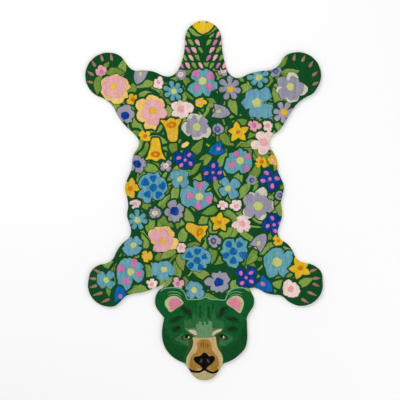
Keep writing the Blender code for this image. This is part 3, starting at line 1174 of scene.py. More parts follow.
def trace_seams(places, around, keep):
    """Follow each seam from one meeting point to the next, ease its corners and space its points."""
    meeting = {v for v, ways in around.items() if len(ways) != 2 or v in keep}
    done = set()
    points, edges, left, right = [], [], [], []
    number = {}

    def put(vertex, place):
        if vertex not in number:
            number[vertex] = len(points)
            points.append(place)
        return number[vertex]

    def follow(start, ahead):
        chain = [start]
        while True:
            here = chain[-1]
            done.update(((here, ahead), (ahead, here)))
            chain.append(ahead)
            if ahead in meeting or ahead == start:
                return chain
            ahead = next(way[0] for way in around[ahead] if way[0] != here)

    def lay(chain, on_left, on_right):
        closed = chain[0] == chain[-1] and chain[0] not in meeting
        line = places[chain[:-1]] if closed else places[chain]
        if OUTSIDE not in (on_left, on_right):
            line = ease(resample(line, 0.5 * SEAM_STEP, closed), closed)
        line = resample(line, SEAM_STEP, closed)
        if closed:
            ids = [put(("loop", chain[0], i), p) for i, p in enumerate(line)]
            ids.append(ids[0])
        else:
            ids = [put(chain[0], line[0])]
            ids += [put((chain[0], chain[1], chain[-1], i), p) for i, p in enumerate(line[1:-1])]
            ids.append(put(chain[-1], line[-1]))
        for a, b in zip(ids, ids[1:]):
            if a != b:
                edges.append((a, b))
                left.append(on_left)
                right.append(on_right)

    for vertex in (*sorted(meeting), *sorted(around)):
        for ahead, on_left, on_right in around[vertex]:
            if (vertex, ahead) not in done:
                lay(follow(vertex, ahead), on_left, on_right)
    return Seams(np.array(points), edges, np.array(left), np.array(right))


def ease(line, closed, passes=3):
    """Soften a line's corners, its ends held."""
    for _ in range(passes):
        eased = 0.25 * np.roll(line, 1, axis=0) + 0.5 * line + 0.25 * np.roll(line, -1, axis=0)
        if not closed:
            eased[[0, -1]] = line[[0, -1]]
        line = eased
    return line


def spread_areas(triangles, count, edges, left, right):
    """The area of each triangle, spread inwards from the seams that bound it."""
    starts, ends, other = pair_up(triangles, count)
    across = triangles_across(other)
    a, b = np.asarray(edges).T
    at = look_up(np.concatenate([a * count + b, b * count + a]), starts * count + ends)
    on_seam = (at >= 0).reshape(-1, 3)
    areas = np.where(on_seam, np.concatenate([left, right])[at].reshape(-1, 3), UNKNOWN).max(1)
    open_way = ~on_seam & (across >= 0)
    change = [True]
    while np.any(change):
        offered = np.where(open_way, areas[across], UNKNOWN).max(1)
        change = (areas == UNKNOWN) & (offered != UNKNOWN)
        areas[change] = offered[change]
    areas[areas == UNKNOWN] = GROUND
    return areas


def cut_seams(drawing, edge):
    """Lay the drawing's outlines over each other and keep only the seams that show."""
    outlines = [edge] + drawing.outlines
    edges, first = [], 0
    for outline in outlines:
        ids = list(range(first, first + len(outline)))
        edges += zip(ids, ids[1:] + ids[:1])
        first += len(outline)
    net = triangulate(np.vstack(outlines), edges)
    middles = net.points[net.triangles].mean(1)
    areas = drawing.area_at(middles)
    areas[~inside(middles, edge)] = OUTSIDE
    across = triangles_across(pair_up(net.triangles, len(net.points))[2])
    merge_scraps(net.points, net.triangles, areas, across)
    before, after = np.roll(edge, 1, axis=0), np.roll(edge, -1, axis=0)
    turn = np.arctan2(*(after - edge).T[::-1]) - np.arctan2(*(edge - before).T[::-1])
    sharp = np.abs((turn + math.pi) % math.tau - math.pi) > SHARP_TURN
    keep = set(net.became[: len(edge)][sharp].tolist())
    return trace_seams(net.points, ways_along_seams(net.triangles, areas, across), keep)


def settle_seams(seams):
    """Lay the eased seams down as one sound plan: where two crossed, each edge gets its true sides."""
    points, edges, left, right = seams
    for _ in range(2):
        net = triangulate(points, edges)
        kept, on_left, on_right = [], [], []
        for (a, b), sources in zip(net.edges, net.edge_sources):
            if sources:
                source = sources[0]
                start, end = edges[source]
                along = np.dot(net.points[b] - net.points[a], points[end] - points[start]) > 0
                kept.append((a, b))
                on_left.append(left[source] if along else right[source])
                on_right.append(right[source] if along else left[source])
        areas = spread_areas(net.triangles, len(net.points), kept, on_left, on_right)
        starts, ends, half = pair_up(net.triangles, len(net.points))
        mine = np.repeat(areas, 3)
        other = np.where(half < 0, OUTSIDE, mine[half])
        seam = mine > other
        used, renumbered = np.unique(np.stack([starts[seam], ends[seam]]), return_inverse=True)
        points, edges = net.points[used], renumbered.reshape(2, -1).T.tolist()
        left, right = mine[seam], other[seam]
    net = triangulate(points, edges)
    edges = net.became[np.array(edges)]
    areas = spread_areas(net.triangles, len(net.points), edges, left, right)
    return Cut(net.points, net.triangles, areas), edges, left, right


def distance_from(points, edges, targets):
    """How far each target lies from the nearest of the edges."""
    a, b = points[edges[:, 0]], points[edges[:, 1]]
    count = int(math.ceil(np.hypot(*(b - a).T).max() / SAMPLE_STEP))
    t = np.linspace(0.0, 1.0, count, endpoint=False)[:, None, None]
    samples = (a + (b - a) * t).reshape(-1, 2).tolist()
    tree = KDTree(len(samples))
    for i, (x, y) in enumerate(samples):
        tree.insert((x, y, 0.0), i)
    tree.balance()
    return np.array([tree.find((x, y, 0.0))[2] for x, y in targets.tolist()])


def settings_key():
    """All settings of the field and the pile, as plain values."""
    groups = bpy.context.scene.rug_field, bpy.context.scene.rug_pile
    return tuple(getattr(group, name) for group in groups for name in group.__annotations__)


@functools.lru_cache(maxsize=1)
def cut_pile(key):
    """What the pieces share: the seams, the sheared surface and the areas' feet; made anew for a new key."""
    field, pile = bpy.context.scene.rug_field, bpy.context.scene.rug_pile
    rng = np.random.default_rng(field.seed + TUFT_SEED)
    edge = rug_edge()
    drawing = draw_rug(field)
    base, edges, left, right = settle_seams(cut_seams(drawing, edge))
    tufts, bumps = tuft_points(base.points, edges, edge, pile, rng)
    net = triangulate(np.vstack([base.points, tufts]), edges.tolist())
    areas = spread_areas(net.triangles, len(net.points), net.became[edges], left, right)
    on_base = np.full(len(net.points), -1)
    on_base[net.became[: len(base.points)]] = np.arange(len(base.points))
    relief = np.zeros(len(net.points))
    relief[net.became[len(base.points):]] = bumps

    at_rim = (left == OUTSIDE) | (right == OUTSIDE)
    inner = ~at_rim & (left != GROUND) & (right != GROUND)
    fall = distance_from(base.points, edges[~inner], net.points)
    inner_fall = distance_from(base.points, edges[inner], net.points)
    fall = np.minimum(fall, inner_fall + pile.inner_carving * pile.carve_width)
    edge_fall = distance_from(base.points, edges[at_rim], net.points)
    rim = np.zeros(len(base.points), bool)
    rim[edges[at_rim]] = True
    rim_out = outward_at_rim(base.points, edges[at_rim], edge)
    top = Cut(net.points, net.triangles, areas)
    return SharedPile(top, base, on_base, relief, fall, edge_fall, rim, rim_out, drawing.yarn_of)


def outward_at_rim(places, rim_edges, edge):
    """Unit vectors that point out of the rug at the rim's points, zero elsewhere."""
    outwards = np.zeros((len(places), 2))
    for a, b in rim_edges:
        run = places[b] - places[a]
        normal = np.array([run[1], -run[0]])
        probe = (places[a] + places[b]) / 2 + unit(normal[None]) * 0.5 * MM
        if inside(probe, edge)[0]:
            normal = -normal
        outwards[a] += normal
        outwards[b] += normal
    return unit(outwards)


def tuft_points(points, edges, edge, pile, rng):
    """Points of the surface between the seams: a row beside each seam, then ridges and furrows of tufts."""
    a, b = points[edges[:, 0]], points[edges[:, 1]]
    across = unit(np.column_stack([(b - a)[:, 1], -(b - a)[:, 0]])) * BESIDE_SEAM
    ring = np.vstack([(a + b) / 2 + across, (a + b) / 2 - across])
    low, high = edge.min(0), edge.max(0)
    xs, ys = np.arange(low[0], high[0], pile.row_pitch), np.arange(low[1], high[1], pile.tuft_pitch)
    ridge = np.stack(np.meshgrid(xs, ys), axis=-1).reshape(-1, 2)
    furrow = ridge + (0.5 * pile.row_pitch, 0.5 * pile.tuft_pitch)
    lean = 0.9 * MM * np.sin(ridge[:, 1:] * 31 + 4 * np.sin(ridge[:, 1:] * 9)) * (1, 0)
    wobble = rng.uniform(-1, 1, (2, *ridge.shape)) * (0.45 * MM, 0.5 * MM)
    tufts = np.vstack([ring, ridge + wobble[0] + lean, furrow + wobble[1] * 0.7 + lean])
    counts = len(ring), len(ridge), len(furrow)
    bumps = [rng.uniform(least, most, n) * MM for (least, most), n in zip(TUFT_BUMPS, counts)]
    wanted = np.repeat([0.82 * BESIDE_SEAM, CLEAR_OF_SEAM, CLEAR_OF_SEAM], counts)
    good = distance_from(points, edges, tufts) > wanted
    good[good] = inside(tufts[good], edge)
    return tufts[good], np.concatenate(bumps)[good]


# ---------------------------------------------------------------- building pieces of pile

# Just short of 1, so that the carving is steep at the seam and not upright.
CARVED_STEEP = 0.98
# How far the middle of an area stands above its seams, and over what distance it gets there.
PILLOW = 0.5 * MM
PILLOW_REACH = 7 * MM
SHEARED_OFF = 0.3 * MM
# The unevenness of hand shearing: each wave's share, its turns along X and Y, and its start.
WAVE_HEIGHT = 0.16
SHEARING_WAVES = ((1.0, 41, 17, 0.8), (1.0, -23, 36, 2.1), (0.7, 67, -51, 4.0), (0.5, 88, 95, 1.3))
# How far the rug's side bulges at its waist, and how much that changes from point to point.
RIM_BULGE = 0.5 * MM
RIM_BULGE_CHANGE = 0.35 * MM
# How deep the rim's waist counts as lying in a seam, from 0 to 1, which sets how much painted shade the rug's
# side gets there.
RIM_DEPTH = 0.4
LIFT_SEED = 5
TINT_SEED = 9
Islands = namedtuple("Islands", "corners areas point_source point_area edges edge_areas")


def slow_waves(places):
    """A few tenths of a millimetre of unevenness over a hand's width."""
    x, y = places.T
    waves = (share * np.sin(a * x + b * y + start) for share, a, b, start in SHEARING_WAVES)
    return sum(waves) * WAVE_HEIGHT * MM


def surface_heights(cut, pile):
    """The height of the sheared pile at each point, and how deep it lies in a seam, from 0 to 1."""
    into = np.clip(cut.edge_fall / pile.shoulder, 0.0, 1.0)
    rim = pile.shoulder * (1 - np.sqrt(1 - (1 - into) ** 2))
    near = np.clip(1 - cut.fall / pile.carve_width, 0.0, 1.0)
    carved = pile.carve_depth * (1 - np.sqrt(1 - near**2 * CARVED_STEEP))
    pillow = PILLOW * (1 - np.exp(-cut.fall / PILLOW_REACH))
    return TOP - rim - carved + pillow + cut.relief + slow_waves(cut.top.points) - SHEARED_OFF, near


def islands(cut, wanted):
    """The wanted areas cut free of the rest; where two sides only touch at a point, it is split."""
    triangles, areas = cut.triangles[wanted], cut.areas[wanted]
    starts, _, other = pair_up(triangles, len(cut.points))
    owner, here = np.repeat(areas, 3), np.arange(len(other))
    following, previous = (np.roll(here.reshape(-1, 3), by, axis=1).ravel() for by in (-1, 1))
    over_next = np.where(other >= 0, following[other], here)
    over_last = np.where(other[previous] >= 0, other[previous], here)
    fan, last = here, None
    while not np.array_equal(fan, last):
        fan, last = np.minimum(fan, np.minimum(fan[over_next], fan[over_last])), fan
    kept, corners = np.unique(fan, return_inverse=True)
    corners, rim = corners.reshape(-1), other < 0
    edges = np.column_stack([corners[rim], corners[following][rim]])
    return Islands(corners.reshape(-1, 3), areas, starts[kept], owner[kept], edges, owner[rim])


def wall_faces(tops, feet, cut, waist_of):
    """The sides between the sheared top and the foot, two faces high where they show at the rug's rim."""
    count = len(cut.base.points)
    top_keys, foot_keys = (
        (source[island.edges] * (count, 1)).sum(1)
        for island, source in ((tops, cut.on_base[tops.point_source]), (feet, feet.point_source))
    )
    top_order, foot_order = np.argsort(top_keys), np.argsort(foot_keys)
    if not np.array_equal(top_keys[top_order], foot_keys[foot_order]):
        raise RuntimeError("The pile's top and foot don't have the same edges")
    faces, owners = [], []
    uppers, lowers = tops.edges[top_order].tolist(), feet.edges[foot_order].tolist()
    for above, lower, area in zip(uppers, lowers, feet.edge_areas[foot_order]):
        waists = [waist_of[point] for point in lower]
        below = [point + len(tops.point_source) for point in lower]
        if min(waists) < 0:
            left, right = ([w] if w >= 0 else [] for w in waists)
            faces.append([above[0], *left, *below, *right, above[1]])
            owners.append(area)
        else:
            faces += [[above[0], *waists, above[1]], [waists[0], *below, waists[1]]]
            owners += [area, area]
    return faces, owners


def shade_share(shade, places):
    """How much of a soft shade's yarn there is at each place, from 0 to 1."""
    soft = shade.soft * MM
    share = np.zeros(len(places))
    for outline in shade.outlines:
        low, high = outline.min(0) - soft, outline.max(0) + soft
        near = np.flatnonzero(((places > low) & (places < high)).all(1))
        for part in np.array_split(near, len(near) // AT_ONCE + 1):
            distance, _ = edge_distance(places[part], outline)
            share[part] = np.maximum(share[part], shade.most * np.clip(0.5 + distance / soft, 0.0, 1.0))
    return share


def keep_values(mesh, label, values):
    """Store a number for each of the mesh's points, which its materials read."""
    mesh.attributes.new(label, "FLOAT", "POINT").data.foreach_set("value", values.astype(np.float32))


def add_piece(name, mesh):
    """A new object that stands for the rug's solid."""
    piece = bpy.data.objects.new(name, mesh)
    bpy.context.scene.collection.objects.link(piece)
    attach(piece, BODY)
    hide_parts(NODE)
    return piece


def make_pile_piece(name, yarns):
    """One closed mesh of all areas in the given yarns: sheared top, sides and foot."""
    pile, cut = bpy.context.scene.rug_pile, cut_pile(settings_key())
    heights, depth = surface_heights(cut, pile)
    yarn_index = np.array([yarns.index(y) if y in yarns else -1 for y in cut.yarn_of] + [-1])
    area_lift = np.random.default_rng(LIFT_SEED).uniform(-0.3, 0.3, len(cut.yarn_of)) * MM
    area_tint = np.random.default_rng(TINT_SEED).uniform(-1.0, 1.0, len(cut.yarn_of))

    tops = islands(cut.top, yarn_index[cut.top.areas] >= 0)
    feet = islands(cut.base, yarn_index[cut.base.areas] >= 0)
    top_points = np.column_stack([cut.top.points, heights])[tops.point_source]
    top_points[:, 2] += area_lift[tops.point_area]
    foot_points = np.insert(cut.base.points, 2, pile.backing, axis=1)[feet.point_source]
    at_rim = np.flatnonzero(cut.rim[feet.point_source])
    rim_source = feet.point_source[at_rim]
    waist_points = foot_points[at_rim]
    bulge = RIM_BULGE + RIM_BULGE_CHANGE * np.sin(rim_source * 2.4)
    waist_points[:, :2] += cut.rim_out[rim_source] * bulge[:, None]
    waist_points[:, 2] = 0.5 * (pile.backing + TOP - pile.shoulder)
    waist_of = np.full(len(foot_points), -1)
    waist_of[at_rim] = len(top_points) + len(foot_points) + np.arange(len(at_rim))

    sides, side_areas = wall_faces(tops, feet, cut, waist_of.tolist())
    under = (feet.corners[:, ::-1] + len(top_points)).tolist()
    faces = tops.corners.tolist() + sides + under
    points = np.vstack([top_points, foot_points, waist_points])
    mesh = bpy.data.meshes.new(name)
    mesh.from_pydata(points.tolist(), [], faces)
    for yarn in yarns:
        mesh.materials.append(wool_material(yarn))
    face_areas = np.concatenate([tops.areas, side_areas, feet.areas]).astype(int)
    mesh.polygons.foreach_set("material_index", yarn_index[face_areas].astype(np.int32))
    mesh.polygons.foreach_set("use_smooth", np.ones(len(faces), bool))
    owners = np.concatenate([tops.point_area, feet.point_area, feet.point_area[at_rim]])
    # How deep each point lies in a seam, from 0 to 1, which the materials paint as shade; the foot counts as
    # deepest and the rim's waist as RIM_DEPTH.
    depths = [depth[tops.point_source], np.ones(len(foot_points)), np.full(len(waist_points), RIM_DEPTH)]
    keep_values(mesh, "pile_depth", np.concatenate(depths))
    keep_values(mesh, "area_tint", area_tint[owners])
    for number, shade in enumerate(SOFT_SHADES):
        if shade.under in yarns:
            keep_values(mesh, f"shade_{number}", shade_share(shade, points[:, :2]))
    mesh.update()
    add_piece(name, mesh)


# ---------------------------------------------------------------- materials

# What the fur's streaks run out from, and how many there are round it and along them.
NOSE_Y = -640 * MM
STREAKS_ROUND = 24.0
STREAKS_OUT = 22.0
MIXED_TUFT = 3.2 * MM
THREAD_PITCH = 0.9 * MM

# How uneven a yarn looks: how far its hue wanders, how much the tuft rows show, and how much the
# bear's fur shows, which runs out from the nose.
Dye = namedtuple("Dye", "heather rows fur")
PLAIN_DYE = Dye(0.02, 0.45, 0.0)
FUR_DYE = Dye(0.006, 0.12, 0.5)
DYES = dict.fromkeys(("bear_green", "muzzle_cream", "chin_sand", "ear_cream", "brow_cream"), FUR_DYE)
DYES |= {
    "sky_blue": Dye(0.055, 0.7, 0.0),
    "lilac": Dye(0.12, 0.7, 0.0),
    "leaf_green": Dye(0.05, 0.5, 0.0),
    "moss_green": Dye(0.05, 0.5, 0.0),
    "stem_green": Dye(0.04, 0.5, 0.0),
    "rose_pink": Dye(0.045, 0.4, 0.0),
    "mauve_pink": Dye(0.035, 0.6, 0.0),
    "lime": Dye(0.04, 0.3, 0.0),
}


def linear(colour):
    """A setting's screen colour as the renderer takes it."""
    return (*Color(colour).from_srgb_to_scene_linear(), 1.0)


class Nodes:
    """Short ways to add nodes to a material or to a node group."""

    def __init__(self, tree):
        self.tree = tree

    def add(self, kind, inputs=None, **settings):
        """A shader node of a kind, with its settings and inputs."""
        node = self.tree.nodes.new("ShaderNode" + kind)
        for name, value in settings.items():
            setattr(node, name, value)
        self.feed(node, inputs or {})
        return node

    def feed(self, node, inputs):
        """Give a node its inputs, each a number, a colour or another node's output."""
        for key, value in inputs.items():
            if isinstance(value, bpy.types.NodeSocket):
                self.tree.links.new(value, node.inputs[key])
            else:
                node.inputs[key].default_value = value

    def math(self, operation, *values, clamp=False):
        """A calculation with numbers and other nodes' outputs."""
        return self.add("Math", dict(enumerate(values)), operation=operation, use_clamp=clamp).outputs[0]

    def about(self, value, middle, amount):
        """How far a value lies from its middle, times an amount."""
        return self.math("MULTIPLY", self.math("SUBTRACT", value, middle), amount)

    def place(self):
        """Where on the rug, in metres."""
        return self.add("TexCoord").outputs["Object"]

    def attribute(self, name):
        """A number that the mesh keeps for each of its points."""
        return self.add("Attribute", attribute_name=name).outputs["Fac"]

    def noise(self, scale, detail, stretch=(1, 1, 1)):
        """Noise over the rug, stretched along its axes."""
        spot = self.add("Mapping", {"Scale": stretch, "Vector": self.place()}).outputs[0]
        return self.add("TexNoise", {"Scale": scale, "Detail": detail, "Vector": spot}).outputs["Fac"]

    def chance(self, cells):
        """Random numbers from 0 to 1, drawn anew in each cell of a Voronoi texture."""
        return self.add("SeparateColor", {0: cells.outputs["Color"]}).outputs

    def mix(self, share, under, over):
        """Two colours mixed by the share of the second."""
        return self.add("Mix", {"Factor": share, "A": under, "B": over}, data_type="RGBA").outputs["Result"]

    def group(self, name, inputs=None):
        """The outputs of one of GROUPS, put to use here."""
        return self.add("Group", inputs, node_tree=node_group(name)).outputs


def node_group(name):
    """One of GROUPS, built on first use."""
    if name in bpy.data.node_groups:
        return bpy.data.node_groups[name]
    group = bpy.data.node_groups.new(name, "ShaderNodeTree")
    for label, default in GROUPS[name].inputs.items():
        kind = "NodeSocketColor" if default is None else "NodeSocketFloat"
        socket = group.interface.new_socket(name=label, in_out="INPUT", socket_type=kind)
        if default is not None:
            socket.default_value = default
    for label in GROUPS[name].outputs:
        kind = "NodeSocketColor" if label == "Color" else "NodeSocketFloat"
        group.interface.new_socket(name=label, in_out="OUTPUT", socket_type=kind)
    nodes = Nodes(group)
    results = GROUPS[name].build(nodes, group.nodes.new("NodeGroupInput").outputs)
    nodes.feed(group.nodes.new("NodeGroupOutput"), results)
    return group


def fur_streaks(nodes, _):
    """Streaks that run out from the bear's nose, from 0 to 1."""
    spot = nodes.add("Mapping", {"Location": (0.0, -NOSE_Y, 0.0), "Vector": nodes.place()}).outputs[0]
    split = nodes.add("SeparateXYZ", {0: spot}).outputs
    angle = nodes.math("MULTIPLY", nodes.math("ARCTAN2", split["X"], split["Y"]), STREAKS_ROUND)
    away = nodes.add("VectorMath", {0: spot}, operation="LENGTH").outputs["Value"]
    along = nodes.add("CombineXYZ", {"X": angle, "Y": nodes.math("MULTIPLY", away, STREAKS_OUT)}).outputs[0]
    streak = nodes.add("TexNoise", {"Scale": 1.0, "Detail": 3.0, "Roughness": 0.6, "Vector": along})
    return {"Streak": streak.outputs["Fac"]}


def cut_wool_pile(nodes, given):
    """Cut wool pile: yarn ends in rows with painted shade between them, heathered streaks, fibres, and
    painted shade down in the seams.
    """
    scale = nodes.math("DIVIDE", 1000.0, given["Yarn End"])
    ends = nodes.add("TexVoronoi", {"Scale": scale, "Vector": nodes.place(), "Randomness": 0.85})
    crown = nodes.math("SUBTRACT", 1.0, nodes.math("POWER", ends.outputs["Distance"], 1.6))
    chance = nodes.chance(ends)
    row = nodes.noise(110.0, 2.0, (1.0, 0.12, 0.3))
    heather = nodes.noise(150.0, 1.0, (1.0, 0.2, 0.3))
    cloud = nodes.noise(17.0, 3.0)
    fibre = nodes.noise(1500.0, 3.0)
    tint = nodes.attribute("area_tint")

    # Painted shade between the tufts: each yarn end is lighter at its crown and darker towards its edge.
    value = nodes.math("MULTIPLY_ADD", crown, 0.6, 0.55)
    # The slow cloud lightens and darkens wide patches of pile as if it leaned this way or that under the
    # light: painted light and shade; in the hue it is the yarn's own wandering tone.
    for part in (
        nodes.about(chance[0], 0.5, 0.24),
        nodes.about(row, 0.5, given["Rows"]),
        nodes.about(cloud, 0.5, 0.24),
        nodes.about(fibre, 0.5, 0.3),
        nodes.about(tint, 0.0, 0.05),
        nodes.about(nodes.group("fur_streaks")["Streak"], 0.5, given["Fur"]),
    ):
        value = nodes.math("ADD", value, part)
    # Painted shade: the pile is darker the deeper it lies in a seam, and on the rug's sides.
    seam_shade = nodes.math("MULTIPLY_ADD", nodes.attribute("pile_depth"), -0.12, 1.0)
    shift = nodes.math("ADD", nodes.about(heather, 0.5, 2.2), nodes.about(cloud, 0.5, 1.2))
    shift = nodes.math("ADD", shift, nodes.about(chance[1], 0.5, 0.5))
    shift = nodes.math("ADD", shift, nodes.about(tint, 0.0, 0.25))
    dyed = nodes.add("HueSaturation", {
        "Color": given["Yarn"],
        "Value": nodes.math("MULTIPLY", value, seam_shade),
        "Hue": nodes.math("MULTIPLY_ADD", shift, given["Heather"], 0.5),
        "Saturation": nodes.math("MULTIPLY_ADD", heather, 0.26, 0.88),
    })
    height = nodes.math("MULTIPLY_ADD", row, 0.6, nodes.math("MULTIPLY_ADD", fibre, 0.45, crown))
    roughness = nodes.math("MULTIPLY_ADD", fibre, 0.12, 0.86)
    return {"Color": dyed.outputs[0], "Roughness": roughness, "Height": height}


def mixed_tufts(nodes, given):
    """Two yarns mixed tuft by tuft, by a share from 0 to 1, in streaks that run out from the bear's nose."""
    tufts = nodes.add("TexVoronoi", {"Scale": 1 / MIXED_TUFT, "Vector": nodes.place()})
    grain = nodes.math("MULTIPLY", nodes.chance(tufts)[1], 0.5)
    lean = nodes.math("MULTIPLY_ADD", nodes.group("fur_streaks")["Streak"], 1.2, grain)
    picked = nodes.math("SUBTRACT", nodes.math("MULTIPLY", given["Share"], 1.7), lean)
    step = nodes.math("MULTIPLY_ADD", picked, 4.0, 0.5, clamp=True)
    return {"Color": nodes.mix(step, given["Under"], given["Over"])}


# Each node group's inputs with their defaults, None for a colour, its outputs, and what builds it.
Group = namedtuple("Group", "inputs outputs build")
GROUPS = {
    "fur_streaks": Group({}, ["Streak"], fur_streaks),
    "cut_wool_pile": Group(
        {"Yarn": None, "Yarn End": 2.1, "Heather": 0.05, "Rows": 0.5, "Fur": 0.0},
        ["Color", "Roughness", "Height"],
        cut_wool_pile,
    ),
    "mixed_tufts": Group({"Under": None, "Over": None, "Share": 0.0}, ["Color"], mixed_tufts),
}


def new_material(name):
    """A material with the ways to add to it, and its shader."""
    material = bpy.data.materials.new(name)
    material.use_nodes = True
    return material, Nodes(material.node_tree), material.node_tree.nodes["Principled BSDF"]


def wool_material(yarn):
    """One dyed yarn as cut pile, with the yarns that are mixed into it."""
    if yarn in bpy.data.materials:
        return bpy.data.materials[yarn]
    yarns, dye = bpy.context.scene.rug_yarns, DYES.get(yarn, PLAIN_DYE)
    material, nodes, shader = new_material(yarn)
    colour = linear(getattr(yarns, yarn))
    for number, shade in enumerate(SOFT_SHADES):
        if shade.under == yarn:
            over, share = linear(getattr(yarns, shade.over)), nodes.attribute(f"shade_{number}")
            mixed = nodes.group("mixed_tufts", {"Under": colour, "Over": over, "Share": share})
            colour = mixed["Color"]
    look = {"Yarn": colour, "Heather": dye.heather, "Rows": dye.rows, "Fur": dye.fur}
    wool = nodes.group("cut_wool_pile", look)
    bump = nodes.add("Bump", {"Strength": 0.8, "Distance": 1.0 * MM, "Height": wool["Height"]})
    nodes.feed(shader, {
        "Base Color": wool["Color"],
        "Roughness": wool["Roughness"],
        "Normal": bump.outputs["Normal"],
        "Sheen Weight": 0.03,
        "Sheen Roughness": 0.6,
        "Specular IOR Level": 0.06,
    })
    return material


def canvas_material():
    """Plain woven cotton of the backing, with the latex showing faintly through it."""
    material, nodes, shader = new_material("backing_canvas")
    place = nodes.place()
    threads = {"Scale": 2 / math.tau / THREAD_PITCH, "Distortion": 0.6, "Detail": 2.0, "Vector": place}
    across = [nodes.add("TexWave", threads, bands_direction=axis).outputs["Fac"] for axis in ("X", "Y")]
    weave = nodes.math("MULTIPLY", *across)
    blotch = nodes.add("TexNoise", {"Scale": 9.0, "Detail": 4.0, "Vector": place}).outputs["Fac"]
    cloth = linear(bpy.context.scene.rug_yarns.canvas)
    latex = (*(0.72 * c for c in cloth[:3]), 1.0)
    share = nodes.math("MULTIPLY_ADD", blotch, 0.6, nodes.math("MULTIPLY", weave, 0.5))
    bump = nodes.add("Bump", {"Strength": 0.4, "Distance": 0.3 * MM, "Height": weave})
    nodes.feed(shader, {
        "Base Color": nodes.mix(share, latex, cloth),
        "Roughness": nodes.math("MULTIPLY_ADD", blotch, 0.1, 0.85),
        "Normal": bump.outputs["Normal"],
    })
    return material


# ---------------------------------------------------------------- operators

GROUND_PIECE = {"ground_pile": ["ground_green"]}
FIELD_PIECES = {
    "leaf_pile": ["leaf_green", "moss_green", "stem_green"],
    "sky_blue_pile": ["sky_blue"],
    "dark_blue_pile": ["mid_blue", "royal_blue"],
    "lilac_pile": ["lilac", "bone"],
    "pink_pile": ["rose_pink", "blush"],
    "yellow_pile": ["sun_yellow", "peach"],
    "heart_pile": ["mauve_pink", "orange", "lime"],
}
HEAD_PIECES = {
    "head_fur_pile": ["bear_green"],
    "brow_pile": ["fur_mint", "brow_cream"],
    "ear_pile": ["ear_cream"],
    "muzzle_pile": ["muzzle_cream", "chin_sand"],
    "nose_and_eye_pile": ["nose_black", "nostril_grey", "eye_dark", "eye_olive", "eye_light"],
}
CLAW_PIECE = {"claw_pile": ["claw_rose"]}
FLOOR_SIZE = 16.0
FLOOR_DROP = 0.4 * MM
Light = namedtuple("Light", "name place size power")
LIGHTS = [
    Light("soft_key", (-2.4, 2.6, 3.4), 2.6, 95.0),
    Light("soft_fill", (2.8, -1.6, 3.2), 3.2, 55.0),
]
AIR_LIGHT = 0.62
CAMERA_AIM = (-16.7 * MM, 2.1 * MM)
SENSOR = 36.0


def make_pieces(pieces):
    """Build each piece from its yarns, for an operator."""
    for name, yarns in pieces.items():
        make_pile_piece(name, yarns)
    return {"FINISHED"}


class RUG_OT_ground(Operator):
    """Build the deep green ground between the flowers"""

    bl_idname = "rug.ground"
    bl_label = "Ground Pile"

    def execute(self, context):
        return make_pieces(GROUND_PIECE)


class RUG_OT_flowers(Operator):
    """Build the flowers and leaves, one piece for each family of yarns"""

    bl_idname = "rug.flowers"
    bl_label = "Flowers and Leaves"

    def execute(self, context):
        return make_pieces(FIELD_PIECES)


class RUG_OT_head(Operator):
    """Build the bear's head: fur, brow, ears, muzzle, nose and eyes"""

    bl_idname = "rug.head"
    bl_label = "Head"

    def execute(self, context):
        return make_pieces(HEAD_PIECES)


class RUG_OT_claws(Operator):
    """Build the claw strokes on the four paws"""

    bl_idname = "rug.claws"
    bl_label = "Claws"

    def execute(self, context):
        return make_pieces(CLAW_PIECE)


class RUG_OT_backing(Operator):
    bl_idname = "rug.backing"
    bl_label = "Backing Cloth"

    def execute(self, context):
        edge = rug_edge()
        bm = bmesh.new()
        loop = [bm.verts.new((x, y, 0.0)) for x, y in edge]
        sides = [bm.edges.new(pair) for pair in zip(loop, loop[1:] + loop[:1])]
        bmesh.ops.triangle_fill(bm, edges=sides, use_beauty=True, normal=(0, 0, 1))
        mesh = bpy.data.meshes.new("backing_cloth")
        bm.to_mesh(mesh)
        bm.free()
        cloth = add_piece("backing_cloth", mesh)
        bpy.ops.object.select_all(action="DESELECT")
        context.view_layer.objects.active = cloth
        cloth.select_set(True)
        body = cloth.modifiers.new("thickness", "SOLIDIFY")
        body.thickness = context.scene.rug_pile.backing
        body.offset = 1.0
        bpy.ops.object.modifier_apply(modifier=body.name)
        mesh.materials.append(canvas_material())
        x, y = edge.T
        area = 0.5 * abs(np.sum(x * np.roll(y, -1) - y * np.roll(x, -1)))
        pieces = [o for o in context.scene.objects if o.name.endswith("_pile")]
        return {"FINISHED"}


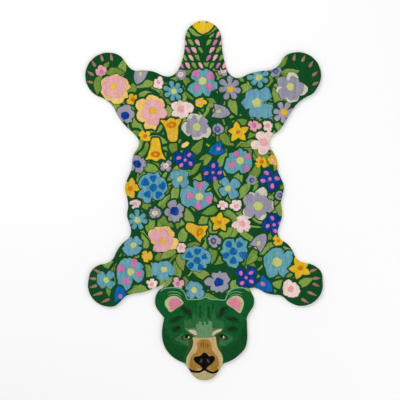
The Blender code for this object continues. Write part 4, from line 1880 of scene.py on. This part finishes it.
class RUG_OT_studio(Operator):
    """Set out the floor, the soft lights and the camera straight above the rug"""

    bl_idname = "rug.studio"
    bl_label = "Studio"

    def execute(self, context):
        studio = context.scene.rug_studio
        bpy.ops.mesh.primitive_plane_add(size=FLOOR_SIZE, location=(0.0, 0.0, -FLOOR_DROP))
        floor = context.object
        floor.name = "floor"
        plain, nodes, shader = new_material("pale_floor")
        colour = (*studio.floor_colour, 1.0)
        nodes.feed(shader, {"Base Color": colour, "Roughness": 0.9, "Specular IOR Level": 0.1})
        floor.data.materials.append(plain)
        for light in LIGHTS:
            bpy.ops.object.light_add(type="AREA", location=light.place)
            lamp = context.object
            lamp.name = light.name
            lamp.data.size = light.size
            lamp.data.energy = light.power
            lamp.rotation_euler = Vector(light.place).to_track_quat("Z", "Y").to_euler()
        world = bpy.data.worlds.new("studio_air")
        world.use_nodes = True
        air = world.node_tree.nodes["Background"].inputs
        air["Color"].default_value = (1.0, 1.0, 1.0, 1.0)
        air["Strength"].default_value = AIR_LIGHT
        context.scene.world = world
        context.scene.view_settings.view_transform = "Standard"
        bpy.ops.object.camera_add(location=(*CAMERA_AIM, studio.camera_height), rotation=(0.0, 0.0, 0.0))
        camera = context.object
        camera.name = "camera"
        camera.data.sensor_width = SENSOR
        camera.data.lens = SENSOR * (studio.camera_height - TOP) / studio.view_width
        context.scene.camera = camera
        return {"FINISHED"}


class RUG_PT_panel(Panel):
    """Sidebar panel with the rug's steps and settings"""

    bl_label = "Tufted Rug"
    bl_idname = "RUG_PT_panel"
    bl_space_type = "VIEW_3D"
    bl_region_type = "UI"
    bl_category = "Tufted Rug"

    def draw(self, context):
        for operator in OPERATORS:
            self.layout.operator(operator.bl_idname)
        for group in SETTINGS:
            settings = getattr(context.scene, group)
            box = self.layout.box()
            for name in settings.__annotations__:
                box.prop(settings, name)


OPERATORS = (RUG_OT_ground, RUG_OT_flowers, RUG_OT_head, RUG_OT_claws, RUG_OT_backing, RUG_OT_studio)
CLASSES = (RugYarns, RugPile, RugField, RugStudio, *OPERATORS, RUG_PT_panel)
SETTINGS = {"rug_pile": RugPile, "rug_field": RugField, "rug_studio": RugStudio, "rug_yarns": RugYarns}


def register():
    for cls in CLASSES:
        bpy.utils.register_class(cls)
    for name, group in SETTINGS.items():
        setattr(bpy.types.Scene, name, PointerProperty(type=group))


def unregister():
    for name in SETTINGS:
        delattr(bpy.types.Scene, name)
    for cls in reversed(CLASSES):
        bpy.utils.unregister_class(cls)


def main():
    """Build the rug piece by piece, then its backing cloth and its studio."""
    register()
    bpy.ops.rug.ground()
    bpy.ops.rug.flowers()
    bpy.ops.rug.head()
    bpy.ops.rug.claws()
    bpy.ops.rug.backing()
    bpy.ops.rug.studio()


if __name__ == "__main__":
    main()
